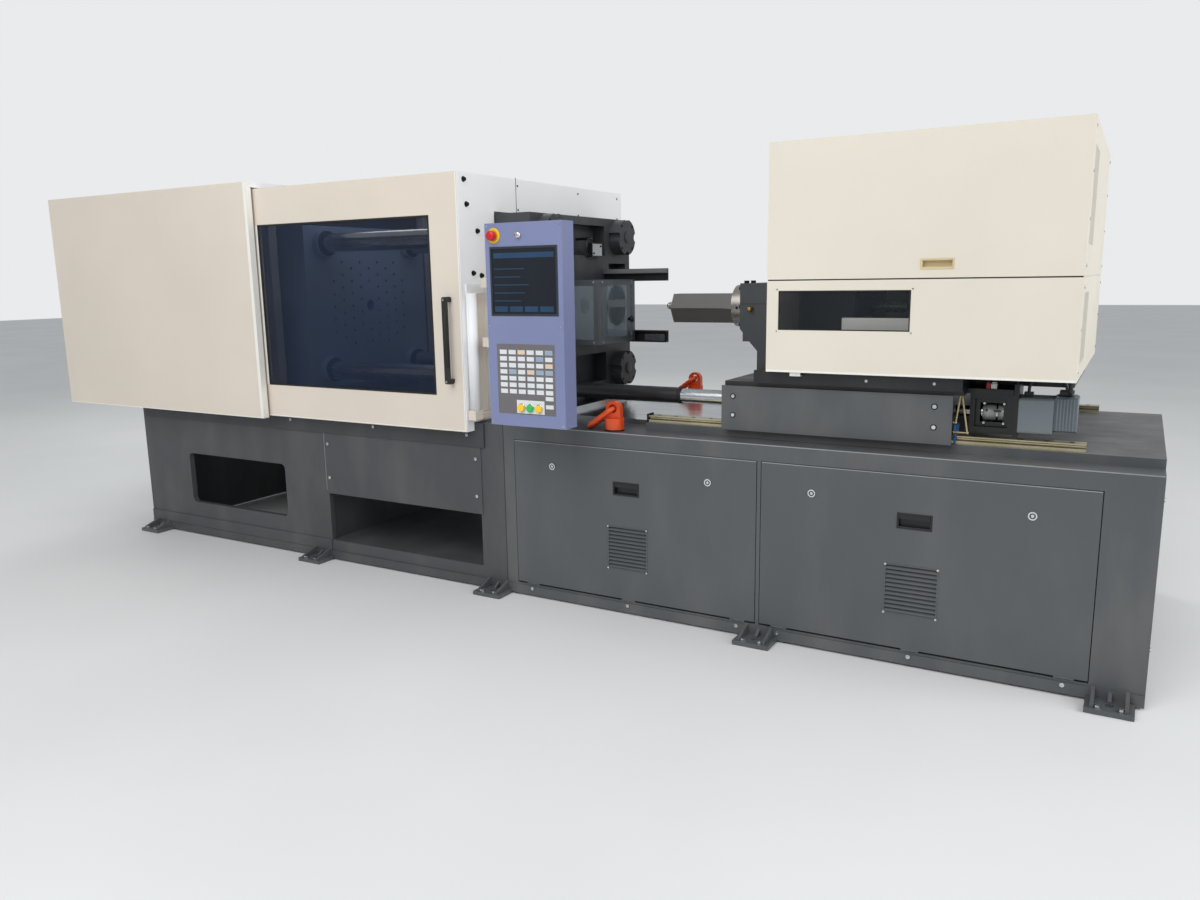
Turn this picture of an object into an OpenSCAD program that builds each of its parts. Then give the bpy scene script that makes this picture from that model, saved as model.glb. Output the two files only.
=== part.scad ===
// Horizontal injection moulding machine with a toggle clamp and an electric injection unit.
// X runs along the machine towards the injection end, Y away from the operator, Z up from the floor.
// The origin lies on the floor, midway between the four outer anchor bolts.

/* [Base] */
// Length of the whole base frame
base_l = 5250; // [5200:10:5300]
// Depth of the base frame, front to back
base_w = 1374; // [1350:2:1400]
// Height of the ledge that runs round the top of the base
ledge_z = 802; // [790:1:812]

/* [Clamp] */
// Height of the platens' lower edge above the ledge
platen_lift = 75; // [68:1:90]
// Distance between tie bar centres
tie_pitch = 690; // [670:2:700]
// Diameter of a tie bar
tie_d = 100; // [90:1:104]

/* [Covers] */
// Length of the fixed cover over the toggle
cover_l = 1721; // [1690:1:1750]
// Height of the fixed cover's top above the platens
cover_rise = 201; // [190:1:230]
// Length of the sliding gate
gate_l = 1359; // [1340:1:1380]
// How far the gate's top lies below the fixed cover's top
gate_drop = 32; // [28:1:40]
// Length of the cover over the injection unit
hood_l = 1081; // [1050:1:1110]
// Height of that cover above its sled plate
hood_h = 854; // [820:2:880]

/* [Injection] */
// Outer diameter of the barrel
barrel_d = 100; // [88:1:104]

/* [Control panel] */
// Width of the control panel
panel_w = 372; // [360:2:390]
// Height of the control panel
panel_h = 826; // [810:2:840]

/* [Hidden] */
$fn = 48;

charcoal = "#3f4347";
cream = "#dedbcf";
white = "#e9e8e4";
casting = "#33363a";
steel = "#a9abad";
black = "#1b1c1e";
orange = "#e2511c";

// Base frame
hw = base_w / 2;
xb0 = -base_l / 2;
xb1 = base_l / 2;
x_seam = 20;
x_bay = -1127;
wall = 30;
sole_z = 8;
bed_z = ledge_z + 33;
bed_y = 562;
bed_x = 960;
chute_x0 = -1117;
chute_x1 = -120;
apron_z0 = 362;
apron_z1 = ledge_z - 119;
foot_in = 102;
foot_xs = [xb0 + foot_in, -1190, -30, 1268, xb1 - foot_in];
anchor_y = hw + 58;
window_x = [xb0 + 390, x_bay - 314];
window_z = [196, ledge_z - 315];

// Lifting swivels
eye_pos = [[570, -622], [395, 622]];
eye_tilt = 35.4;
eye_z = ledge_z + 96;

// Doors of the injection base
door_xs = [[83, 1245], [1266, xb1 - 173]];
door_z0 = 66;
door_z1 = ledge_z - 69;
door_gap = 3;
door_face = hw + 1;
pull_xs = [door_mid(0) - 6, door_mid(1) - 4];
pull_z0 = door_z1 - 197;
pull_z1 = pull_z0 + 48;
vent_xs = [door_mid(0) - 1, door_mid(1) - 7];
vent_z0 = door_z0 + 137;
vent_blades = 11;
vent_pitch = 16.6;
vent_z1 = vent_z0 + vent_blades * vent_pitch + 1.4;
hinge_py = hw - 1;
hinge_pz = 62;
lock_xs = [for (d = door_xs) [d[0] + 204, d[1] - 207]];
lock_z = door_z1 - 105;

// Clamp unit
tie_h = tie_pitch / 2;
tie_r = tie_d / 2;
platen_half = tie_h + 94;
platen_y = tie_h + 135;
platen_z0 = ledge_z + platen_lift;
axis_z = platen_z0 + platen_half;
platen_z1 = axis_z + platen_half;
pad_z = ledge_z + 52;
fixed_x0 = -170;
fixed_x1 = 60;
move_x0 = -1600;
move_x1 = -1400;
rear_x0 = -2204;
rear_x1 = -1984;
run_gap = 0.3;

// Toggle: both long links have one length, so the fold turns the middle pin by twice the angle
link_l = 300;
pin_h = 365;
fold = 80;
xa = -1784.2;
bx = xa + link_l * cos(fold);
bz = pin_h - link_l * sin(fold);
cx = xa + 2 * link_l * cos(fold);
arm_r = 122;
arm_a = 43;
dx = xa + arm_r * cos(arm_a);
dz = pin_h - arm_r * sin(arm_a);
cross_l = 288;
ez = 84;
ex = dx - sqrt(cross_l * cross_l - (dz - ez) * (dz - ez));

// Covers and gates
skin = 4;
cover_x1 = -1442;
cover_x0 = cover_x1 - cover_l;
cover_y = hw + 110;
cover_z0 = ledge_z - 49;
cover_top = platen_z1 + cover_rise;
gate_top = cover_top - gate_drop;
gate_y1 = hw + 64;
gate_y0 = hw + 16;
gate_x1 = -141;
gate_x0 = gate_x1 - gate_l;
gate_z0 = ledge_z - 39;
win_x0 = gate_x0 + 53;
win_x1 = gate_x1 - 168;
win_z0 = gate_z0 + 169;
win_z1 = gate_top - 184;
portal_x = gate_x1 + 2;
portal_z = platen_z1 + 10;
track_y1 = hw + 13;
// Header beams that carry the roof and the gates' upper tracks
post_y0 = 590;
post_y1 = 640;
head_h = 38;
head_z1 = gate_top - 6;
head_z0 = head_z1 - head_h;
track_z1 = head_z1 - 8;
post_xs = [xb0 + 65, cover_x1 - 88];
low_track = [gate_z0 + 13, gate_z0 + 31];
roof_rim = 26;
// Upright pull of the gate
grip_x = [gate_x1 - 75, gate_x1 - 53];
grip_z = [gate_z0 + 222, gate_z0 + 617];

// Injection unit
rail_x0 = 700;
rail_x1 = xb1 - 240;
rail_y = 523;
rail_w = 50;
rail_top = bed_z + 30;
car_x0 = 1060;
car_x1 = 1952;
car_y = 604;
car_z0 = bed_z + 3;
car_z1 = bed_z + 183;
plate_z0 = car_z1 + 18;
plate_z1 = plate_z0 + 50;
wide_x1 = car_x1 + 33;
hood_x0 = 1264;
hood_x1 = hood_x0 + hood_l;
hood_y = 654;
hood_split = plate_z1 + 346;
hood_top = plate_z1 + hood_h;
cast_x0 = 1004;
cast_x1 = 1500;
cast_y = 272;
cast_top = axis_z + 105;
barrel_r = barrel_d / 2;
hex_in = barrel_r + 14.5;
hex_z = axis_z - 10;
collar_x0 = 890;
// Purge guard and the channels beside it
guard_x0 = fixed_x1 + 3;
guard_x1 = guard_x0 + 184;
guard_y = 188;
guard_z0 = axis_z - 184;
guard_z1 = axis_z + 128;
drive_y = -430;
drive_z = bed_z + 108;
throat_x = 1140;
throat_r = 40;
ram_x0 = 1712.3;
ram_x1 = 1790;
ram_top = axis_z + 144;
ram_motor_l = 290;
ram_motor_r = 90;
// Hinge of the upper hood along its rear edge
lid_py = hood_y + 6.3;
lid_pz = hood_split + 2.5;
lid_r = 6;
lid_xs = [hood_x0 + 150, hood_x1 - 150];
// Sled motor and its bracket
mot_x0 = wide_x1 + 9;
mot_x1 = mot_x0 + 148;
mot_x2 = mot_x1 + 16;
mot_x3 = mot_x2 + 114;
mot_x4 = mot_x3 + 74;
mot_half = 66;

// Control panel
pan_x0 = 163;
pan_x1 = pan_x0 + panel_w;
pan_z0 = ledge_z + 50;
pan_z1 = pan_z0 + panel_h;
pan_y0 = -962;
pan_y1 = -876;
hinge_x = pan_x0 - 14;
hinge_y = -860;
arm_z0 = pan_z0 + 308;
arm_z1 = arm_z0 + 300;
arm_h = 40;
barrel_z = [arm_z0 + 65, arm_z1 - 65];
key_xs = [pan_x0 + 160, pan_x0 + 203, pan_x0 + 246];
key_z = pan_z0 + 78;
stop_x = pan_x0 + 45;
stop_z = pan_z1 - 50;

// Box between two opposite corners
module block(a, b) {
  translate([min(a.x, b.x), min(a.y, b.y), min(a.z, b.z)])
    cube([abs(a.x - b.x), abs(a.y - b.y), abs(a.z - b.z)]);
}

module xrod(x0, x1, y, z, r) {
  translate([x0, y, z]) rotate([0, 90, 0]) cylinder(h = x1 - x0, r = r);
}

module yrod(y0, y1, x, z, r) {
  translate([x, y1, z]) rotate([90, 0, 0]) cylinder(h = y1 - y0, r = r);
}

module zrod(z0, z1, x, y, r) {
  translate([x, y, z0]) cylinder(h = z1 - z0, r = r);
}

// Outline drawn in X and Z, given a depth along Y
module yslab(y0, y1) {
  translate([0, max(y0, y1), 0]) rotate([90, 0, 0]) linear_extrude(abs(y1 - y0)) children();
}

// Outline drawn in Y and Z, given a length along X
module xslab(x0, x1) {
  translate([x0, 0, 0]) rotate([90, 0, 90]) linear_extrude(x1 - x0) children();
}

// Rectangle with round corners between two points
module rrect(a, b, r) {
  translate([a.x + r, a.y]) square([b.x - a.x - 2 * r, b.y - a.y]);
  translate([a.x, a.y + r]) square([b.x - a.x, b.y - a.y - 2 * r]);
  for (x = [a.x + r, b.x - r], y = [a.y + r, b.y - r])
    translate([x, y]) circle(r);
}

// Straight bar with round ends between two points
module bar2d(a, b, r) {
  l = norm(b - a);
  translate(a) rotate(atan2(b.y - a.y, b.x - a.x)) {
    translate([0, -r]) square([l, 2 * r]);
    circle(r);
    translate([l, 0]) circle(r);
  }
}

// Base frame under the clamp, open below, with a see-through window and a chute for the mouldings
module base_clamp() {
  color(charcoal) {
    difference() {
      block([xb0, -hw, sole_z], [x_seam, hw, ledge_z]);
      block([xb0 + wall, -hw + wall, sole_z - 1], [x_bay - wall, hw - wall, ledge_z - wall]);
      block([x_bay, -hw + wall, sole_z - 1], [x_seam - wall, hw - wall, ledge_z - wall]);
      yslab(-hw - 1, hw + 1) rrect([window_x[0], window_z[0]], [window_x[1], window_z[1]], 28);
      block([chute_x0, -hw - 1, 108], [chute_x1, hw + 1, apron_z1 - 12]);
      block([-1060, -294, ledge_z - wall - 1], [-200, 294, ledge_z + 1]);
    }
    // Sole rails along both sides
    for (s = [-1, 1])
      block([xb0, s * hw, sole_z], [x_seam, s * (hw + 7), 50]);
    // Hardened ways under the moving platen
    for (s = [-1, 1])
      block([-1700, s * 300, ledge_z], [-900, s * 400, pad_z - run_gap]);
    // Sloped chute floor across the bay
    block([x_bay, -hw + wall, 96], [x_seam - wall, hw - wall, 108]);
  }
}

// Base frame under the injection unit, with two door openings and the raised bed
module base_injection() {
  color(charcoal) {
    difference() {
      block([x_seam, -hw, sole_z], [xb1, hw, ledge_z]);
      block([x_seam + wall, -hw + wall, 20], [door_xs[0][1] - 5, hw - wall, ledge_z - wall]);
      block([door_xs[1][0] + 5, -hw + wall, 20], [xb1 - wall, hw - wall, ledge_z - wall]);
      for (d = door_xs) {
        block([d[0] - door_gap, -hw - 1, 58], [d[1] + door_gap, -hw + wall + 1, door_z1 + door_gap]);
      }
    }
    for (s = [-1, 1])
      block([x_seam, s * hw, sole_z], [xb1, s * (hw + 7), 50]);
    block([bed_x, -bed_y, ledge_z], [xb1, bed_y, bed_z]);
    for (s = [-1, 1])
      block([rail_x0 - 7, s * 440, ledge_z], [bed_x, s * bed_y, bed_z]);
    // Seats and studs of the lifting swivels
    for (e = eye_pos) {
      zrod(ledge_z, ledge_z + 6, e.x, e.y, 36);
      zrod(ledge_z, ledge_z + 38, e.x, e.y, 14);
    }
    // Fixed halves of the door hinges
    for (d = door_xs, x = hinge_xs(d), t = [-1, 1]) {
      xrod(x + t * 26 - 6, x + t * 26 + 6, -hinge_py, hinge_pz, 3.5);
      block([x + t * 26 - 6, -hinge_py - 1.7, 50], [x + t * 26 + 6, -hinge_py + 1.7, hinge_pz]);
    }
    for (d = door_xs, x = hinge_xs(d))
      xrod(x - 30, x + 30, -hinge_py, hinge_pz, 2);
  }
}

function door_mid(i) = (door_xs[i][0] + door_xs[i][1]) / 2;
function hinge_xs(d) = [d[0] + 82, (d[0] + d[1]) / 2, d[1] - 74];

// Two bolted sheet panels that close the chute bay above the outlet, front and rear
module apron_panels() {
  color(charcoal)
    for (s = [-1, 1]) {
      block([x_bay, s * hw, apron_z0], [-110, s * (hw + 4), apron_z1]);
      block([chute_x0 + 4, s * (hw - 22), apron_z0], [chute_x1 - 4, s * hw, apron_z0 + 3]);
    }
}

// Foot plates with two gussets and an anchor hole each
module foot_brackets() {
  color(charcoal)
    for (x = foot_xs, s = [-1, 1])
      difference() {
        union() {
          block([x - 75, s * (hw + 7), 0], [x + 75, s * (hw + 110), 18]);
          for (g = [-58, 46])
            translate([x + g, 0, 0]) xslab(0, 12)
              polygon([[s * (hw + 7), 18], [s * (hw + 100), 18], [s * (hw + 100), 26], [s * (hw + 7), 58]]);
          translate([x - 6, 0, 0]) xslab(0, 12)
            polygon([[s * (hw + 7), 18], [s * (hw + 40), 18], [s * (hw + 40), 24], [s * (hw + 7), 44]]);
        }
        zrod(-1, 30, x, s * anchor_y, 14);
      }
}

// Bright drip tray between platen and carriage
module bed_tray() {
  color("#c9cbcc")
    difference() {
      block([110, -430, ledge_z], [bed_x - 8, 430, ledge_z + 22]);
      block([113, -427, ledge_z + 2], [bed_x - 11, 427, ledge_z + 23]);
    }
}

// Profile rails that carry the injection carriage
module carriage_rails() {
  color("#8d8468")
    for (s = [-1, 1])
      xslab(rail_x0, rail_x1)
        translate([s * rail_y, bed_z])
          polygon([[-25, 0], [25, 0], [25, 12], [17, 17], [17, 21], [25, 25], [25, 30],
                   [-25, 30], [-25, 25], [-17, 21], [-17, 17], [-25, 12]]);
}

// Lugs of a platen for one toggle pin
module lugs(x0, x1, z, ys, r) {
  for (s = [-1, 1])
    yslab(s * ys[0], s * ys[1]) {
      translate([x1, z]) circle(r);
      translate([min(x0, x1), z - r]) square([abs(x1 - x0), 2 * r]);
    }
}

module rear_platen() {
  color(casting) {
    difference() {
      union() {
        block([rear_x0, -platen_y, platen_z0], [rear_x1, platen_y, platen_z1]);
        for (s = [-1, 1]) {
          block([rear_x0 + 20, s * 300, ledge_z], [rear_x1 - 20, s * 420, platen_z0]);
          lugs(rear_x1, xa, axis_z + s * pin_h, [120, 155], 52);
        }
      }
      for (y = [-tie_h, tie_h], z = [-tie_h, tie_h])
        xrod(rear_x0 - 1, rear_x1 + 1, y, axis_z + z, tie_r);
      xrod(rear_x0 - 1, rear_x1 + 1, 0, axis_z, 60);
      for (s = [-1, 1])
        block([rear_x0 - 1, s * 70, axis_z - 300], [rear_x0 + 110, s * 200, axis_z + 300]);
    }
    // Toggle pins and tie bar nuts
    for (s = [-1, 1], t = [-1, 1]) {
      yrod(t > 0 ? 120 : -200, t > 0 ? 200 : -120, xa, axis_z + s * pin_h, 30);
      difference() {
        xrod(rear_x0 - 90, rear_x0, s * tie_h, axis_z + t * tie_h, 88);
        xrod(rear_x0 - 91, rear_x0 + 1, s * tie_h, axis_z + t * tie_h, tie_r);
      }
    }
  }
}

// Fixed platen with locating bore, tapped holes and ribbed outer face
module stationary_platen() {
  color(casting)
    difference() {
      union() {
        block([fixed_x0, -platen_y, platen_z0], [fixed_x1, platen_y, platen_z1]);
        for (s = [-1, 1])
          block([fixed_x0 + 20, s * 320, ledge_z], [fixed_x1 - 20, s * 440, platen_z0]);
      }
      for (y = [-tie_h, tie_h], z = [-tie_h, tie_h])
        xrod(fixed_x0 - 1, fixed_x1 + 1, y, axis_z + z, tie_r);
      xrod(fixed_x0 - 1, fixed_x0 + 30, 0, axis_z, 60);
      xrod(fixed_x0 + 29, fixed_x1 + 1, 0, axis_z, 45);
      // Pockets between the ribs of the outer face
      for (s = [-1, 1]) {
        block([fixed_x1 - 70, s * 250, axis_z - 210], [fixed_x1 + 1, s * 430, axis_z - 20]);
        block([fixed_x1 - 70, s * 250, axis_z + 20], [fixed_x1 + 1, s * 430, axis_z + 210]);
        block([fixed_x1 - 70, -210, axis_z + s * 250], [fixed_x1 + 1, 210, axis_z + s * 400]);
      }
      tapped_holes(fixed_x0 - 1, fixed_x0 + 36);
    }
}

// Staggered grid of tapped holes for clamping a mould
module tapped_holes(x0, x1) {
  for (i = [0:4], j = [0:6])
    if (!(i == 0 && abs(j - 3) < 2) && !(i == 4 && abs(j - 3) > 2))
      for (s = i == 0 ? [1] : [-1, 1])
        xrod(x0, x1, s * i * 70, axis_z + (j - 3) * 70 + (i % 2 == 1 ? 35 : 0), 8);
}

module tie_bars() {
  color("#b9bbbd")
    for (y = [-tie_h, tie_h], z = [-tie_h, tie_h])
      xrod(rear_x0 - 105, fixed_x1 + 20, y, axis_z + z, tie_r);
}

// Scalloped covers over the tie bar nuts
module tie_caps() {
  color("#2a2c2f")
    for (y = [-tie_h, tie_h], z = [-tie_h, tie_h])
      translate([fixed_x1, y, axis_z + z]) rotate([0, 90, 0])
        difference() {
          cylinder(h = 62, r = 92);
          translate([0, 0, -1]) cylinder(h = 41, r = 70);
          for (a = [0:90:270])
            rotate(a) translate([98, 0, -1]) cylinder(h = 70, r = 24);
          for (a = [45:90:315])
            rotate(a) translate([80, 0, 52]) cylinder(h = 20, r = 9);
        }
}

// Ball screw, its bearing housing and the belt driven servo motor behind the rear platen
module clamp_drive() {
  color("#26282b") {
    difference() {
      block([rear_x0 - 150, -170, axis_z - 330], [rear_x0, 170, axis_z + 130]);
      block([rear_x0 - 120, -150, axis_z - 310], [rear_x0 - 20, 150, axis_z + 110]);
    }
    xrod(rear_x0 - 430, rear_x0 - 150, 0, axis_z - 210, 105);
    block([rear_x0 - 400, -60, axis_z - 105], [rear_x0 - 300, 60, axis_z - 50]);
  }
  color(steel)
    xrod(rear_x0 - 20, -1655, 0, axis_z, 28);
}

// Welded posts and beams inside the clamp covers, with the upper and lower gate tracks
module cover_frame() {
  color("#8f9398")
    for (s = [-1, 1]) {
      for (x = post_xs)
        block([x, s * post_y0, ledge_z], [x + 50, s * post_y1, head_z0]);
      block([cover_x0 + 8, s * post_y0, head_z0], [portal_x - 46, s * post_y1, head_z1]);
      block([cover_x0 + 8, s * post_y1, head_z0], [portal_x - 46, s * track_y1, track_z1]);
      block([xb0 + 5, s * hw, low_track[0]], [portal_x - 51, s * (hw + 10), low_track[1]]);
      block([cover_x0 + skin, s * post_y0, cover_z0 + 17], [cover_x0 + 54, s * post_y1, head_z0]);
      block([cover_x0 + 54, s * post_y0, cover_z0 + 17], [xb0, s * post_y1, ledge_z - 2]);
      block([cover_x0 + 54, s * post_y1, cover_z0 + 17], [xb0 - 175, s * (cover_y - skin), cover_z0 + 21]);
    }
  color("#8f9398")
    for (x = concat([cover_x0 + 8], post_xs))
      block([x, -post_y0, head_z0], [x + 46, post_y0, head_z1]);
}

// Fixed side covers over the toggle, front and rear
module side_covers() {
  color(cream)
    for (s = [-1, 1]) {
      block([cover_x0, s * (cover_y - skin), cover_z0], [cover_x1, s * cover_y, cover_top]);
      block([cover_x1 - skin, s * (cover_y - 34), cover_z0], [cover_x1, s * (cover_y - skin), cover_top - 30]);
      block([cover_x0 + skin, s * (cover_y - 34), cover_z0],
            [cover_x1 - skin, s * (cover_y - skin), cover_z0 + skin]);
    }
}

// Roof and end of the toggle cover, folded from one sheet
module roof_cover() {
  color(white)
    difference() {
      union() {
        block([cover_x0, -cover_y + skin, cover_top - skin], [cover_x1, cover_y - skin, cover_top]);
        block([cover_x0, -cover_y + skin, cover_z0], [cover_x0 + skin, cover_y - skin, cover_top]);
        for (s = [-1, 1]) {
          block([cover_x0 + skin, s * (cover_y - skin), cover_top - 30],
                [cover_x1, s * (cover_y - 8), cover_top - skin]);
          block([xb0 + 25, s * post_y0, head_z1], [cover_x1 - 38, s * post_y1, cover_top - skin]);
        }
        block([cover_x1 - skin, -cover_y + 8, cover_top - roof_rim], [cover_x1, cover_y - 8, cover_top - skin]);
      }
      for (i = [0:8], s = [-1, 1])
        block([cover_x0 - 1, s * 130, axis_z - 316 + i * 40], [cover_x0 + 5, s * 430, axis_z - 300 + i * 40]);
    }
}

// White end frame beside the gates: top fascia and two corner posts
module portal() {
  color(white) {
    difference() {
      block([portal_x, -gate_y1, ledge_z], [portal_x + skin, gate_y1, gate_top]);
      block([portal_x - 1, -platen_y - 5, ledge_z - 1], [portal_x + skin + 1, platen_y + 5, portal_z]);
    }
    for (s = [-1, 1]) {
      block([portal_x, s * hw, gate_z0], [portal_x + skin, s * gate_y1, ledge_z]);
      block([portal_x - 46, s * post_y0, ledge_z], [portal_x, s * post_y1, head_z1]);
      block([portal_x - 20, s * (hw - 1), ledge_z], [portal_x, s * (hw + 3), head_z1 - 18]);
      // Raised bar and strip beside the gate's edge
      block([portal_x + skin, s * (hw - 87), portal_z - 372], [portal_x + skin + 8, s * (hw + 36), portal_z - 329]);
      block([portal_x + skin, s * (hw - 32), ledge_z + 30], [portal_x + skin + 4, s * (hw + 28), portal_z - 372]);
    }
    block([portal_x - 40, -post_y0, head_z0], [portal_x, post_y0, head_z1]);
  }
}

// Tube that the carriage drive screw runs into
module drive_tube() {
  color(black)
    difference() {
      union() {
        xrod(fixed_x1 + 75, 793, drive_y, drive_z, 35);
        block([fixed_x1 + 68, -platen_y, drive_z - 50], [fixed_x1 + 86, drive_y + 45, drive_z + 50]);
        block([fixed_x1, -platen_y, drive_z - 50], [fixed_x1 + 68, -platen_y + 38, drive_z + 50]);
      }
      xrod(fixed_x1 + 90, 794, drive_y, drive_z, 31.5);
    }
}

// Two fixed channels that the purge guard runs along, and the platen's limit switch with its lead
module guard_rails() {
  color("#26282b")
    xslab(fixed_x1, 425) {
      translate([guard_y + 0.3, axis_z + 118])
        polygon([[0, 0], [30, 0], [30, 62], [8, 62], [0, 43], [0, 38], [24, 38], [24, 6], [0, 6]]);
      translate([guard_y + 0.3, axis_z - 192])
        polygon([[0, 0], [30, 0], [30, 60], [0, 60], [0, 54], [24, 54], [24, 6], [0, 6]]);
    }
  color(black) {
    block([fixed_x1, 31, axis_z + 238], [fixed_x1 + 6, 130, axis_z + 290]);
    block([fixed_x1 + 6, 31, axis_z + 243], [fixed_x1 + 30, 130, axis_z + 311]);
    translate([fixed_x1 + 18, 31, axis_z + 290]) rotate([90, 0, 90]) rotate([0, 0, 90])
      rotate_extrude(angle = 180) translate([42, 0]) circle(3.5);
    yrod(31, 43, fixed_x1 + 18, axis_z + 332, 3.5);
    xrod(fixed_x1 - 70, fixed_x1 + 22, 43, axis_z + 332, 7);
  }
}

// Bracket from the platen to the control panel's hinge
module panel_arm() {
  color("#2c2e31") {
    block([-40, -platen_y - 14, arm_z0 - 40], [58, -platen_y, arm_z1 + 40]);
    for (z = [arm_z0, arm_z1 - arm_h]) {
      block([-20, -760, z], [40, -platen_y - 14, z + arm_h]);
      translate([0, 0, z]) linear_extrude(arm_h)
        polygon([[-20, -760], [40, -760], [hinge_x + 16, hinge_y], [hinge_x - 16, hinge_y + 16]]);
    }
    difference() {
      zrod(arm_z0, arm_z1, hinge_x, hinge_y, 16);
      zrod(barrel_z[0], barrel_z[1], hinge_x, hinge_y, 17);
    }
    zrod(arm_z0, arm_z1, hinge_x, hinge_y, 9);
  }
}

// Sheet door with folded edges, a pressed vent and a recess for the pull
module door(i) {
  x0 = door_xs[i][0];
  x1 = door_xs[i][1];
  color(charcoal) {
    difference() {
      block([x0, -door_face, door_z0], [x1, -door_face + 24, door_z1]);
      block([x0 + 4, -door_face + 3, door_z0 + 4], [x1 - 4, -door_face + 25, door_z1 - 4]);
      block([pull_xs[i] - 57, -door_face - 1, pull_z0], [pull_xs[i] + 57, -door_face + 4, pull_z1]);
      block([vent_xs[i] - 92, -door_face - 1, vent_z0], [vent_xs[i] + 92, -door_face + 4, vent_z1]);
      for (x = lock_xs[i])
        yrod(-door_face - 1, -door_face + 4, x, lock_z, 11);
    }
    // Knuckles of the hinges along the lower edge
    for (x = hinge_xs(door_xs[i]))
      difference() {
        union() {
          xrod(x - 19, x + 19, -hinge_py, hinge_pz, 3.5);
          block([x - 19, -hinge_py - 1.7, hinge_pz], [x + 19, -hinge_py + 1.7, door_z0]);
        }
        xrod(x - 20, x + 20, -hinge_py, hinge_pz, 2.3);
      }
    // Slanted louvre blades
    for (k = [0:vent_blades - 1])
      translate([vent_xs[i] - 92, 0, vent_z0 + 2 + k * vent_pitch])
        xslab(0, 184)
          polygon([[-door_face - 2, 0], [-door_face + 12, 13], [-door_face + 12, 16], [-door_face - 2, 3]]);
    for (x = [vent_xs[i] - 96, vent_xs[i] + 92])
      block([x, -door_face - 2, vent_z0 - 4], [x + 4, -door_face + 14, vent_z1 + 4]);
    for (z = [vent_z0 - 4, vent_z1])
      block([vent_xs[i] - 96, -door_face - 2, z], [vent_xs[i] + 96, -door_face + 3, z + 4]);
  }
}

module door_a() { door(0); }
module door_b() { door(1); }

// Chrome quarter-turn lock with a screwdriver slot
module lock(x) {
  color("#d4d6d8")
    difference() {
      union() {
        yrod(-door_face - 5, -door_face - 0.3, x, lock_z, 15);
        yrod(-door_face - 0.3, -door_face + 20, x, lock_z, 10.7);
      }
      block([x - 9, -door_face - 6, lock_z - 1.5], [x + 9, -door_face - 3, lock_z + 1.5]);
    }
}

module lock_a1() { lock(lock_xs[0][0]); }
module lock_a2() { lock(lock_xs[0][1]); }
module lock_b1() { lock(lock_xs[1][0]); }
module lock_b2() { lock(lock_xs[1][1]); }

// Lifting swivel: round body with an eye, and a forged ring lying through it
module eye(e) {
  color(orange)
    difference() {
      union() {
        zrod(ledge_z + 6 + run_gap, ledge_z + 54, e.x, e.y, 42);
        yrod(e.y - 14, e.y + 14, e.x, eye_z - 4, 36);
        block([e.x - 36, e.y - 14, ledge_z + 50], [e.x + 36, e.y + 14, eye_z - 4]);
      }
      yrod(e.y - 15, e.y + 15, e.x, eye_z, 19);
      zrod(ledge_z + 5, ledge_z + 40, e.x, e.y, 14 + run_gap);
    }
}

module eye_front() { eye(eye_pos[0]); }
module eye_rear() { eye(eye_pos[1]); }

// Oblong link: two round bars and two half rings
module ring(e) {
  w = 32;
  l = 82;
  r = 11;
  color(orange)
    translate([e.x, e.y, eye_z]) rotate([0, -90 - eye_tilt, 0]) {
      for (s = [-1, 1])
        translate([0, s * w, w]) cylinder(h = l, r = r);
      translate([0, 0, w + l]) rotate([90, 0, 90]) rotate_extrude(angle = 180) translate([w, 0]) circle(r);
      translate([0, 0, w]) rotate([90, 0, 90]) rotate([0, 0, 180]) rotate_extrude(angle = 180)
        translate([w, 0]) circle(r);
    }
}

module ring_front() { ring(eye_pos[0]); }
module ring_rear() { ring(eye_pos[1]); }

module moving_platen() {
  color("#5f6b78")
    difference() {
      union() {
        block([move_x0, -platen_y, platen_z0], [move_x1, platen_y, platen_z1]);
        for (s = [-1, 1]) {
          block([move_x0 + 10, s * 300, pad_z], [move_x1 - 10, s * 400, platen_z0]);
          lugs(move_x0, cx, axis_z + s * pin_h, [250, 290], 56);
        }
        for (y = [-tie_h, tie_h], z = [-tie_h, tie_h])
          xrod(move_x0, move_x1 + 36, y, axis_z + z, 74);
      }
      for (y = [-tie_h, tie_h], z = [-tie_h, tie_h])
        xrod(move_x0 - 1, move_x1 + 37, y, axis_z + z, tie_r + run_gap);
      for (s = [-1, 1]) {
        block([move_x0 - 1, s * 230, axis_z - 210], [move_x0 + 90, s * 430, axis_z + 210]);
        block([move_x0 - 1, -180, axis_z + s * 190], [move_x0 + 90, 180, axis_z + s * 400]);
        // Long holes that the toggle end pins run in
        yslab(-291, 291) {
          translate([cx, axis_z + s * pin_h]) circle(30.5);
          translate([cx, axis_z + s * pin_h - 30.5]) square([20, 61]);
          translate([cx + 20, axis_z + s * pin_h]) circle(30.5);
        }
      }
      xrod(move_x0 - 1, move_x1 + 1, 0, axis_z, 30);
      tapped_holes(move_x1 - 36, move_x1 + 1);
    }
}

// Rear toggle link, up or down, with the middle pin and the pin for the cross link
module link_rear(s) {
  za = axis_z + s * pin_h;
  zb = axis_z + s * bz;
  zd = axis_z + s * dz;
  color("#6d7277") {
    for (t = [-1, 1])
      difference() {
        yslab(t * 160, t * 200) {
          bar2d([xa, za], [bx, zb], 44);
          bar2d([xa, za], [dx, zd], 36);
          bar2d([bx, zb], [dx, zd], 30);
        }
        yrod(t > 0 ? 159 : -201, t > 0 ? 201 : -159, xa, za, 30.3);
      }
    yrod(-248, 248, bx, zb, 26);
    for (t = [-1, 1])
      yrod(t > 0 ? 112 : -160, t > 0 ? 160 : -112, dx, zd, 18);
  }
}

module link_rear_up() { link_rear(1); }
module link_rear_low() { link_rear(-1); }

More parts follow.
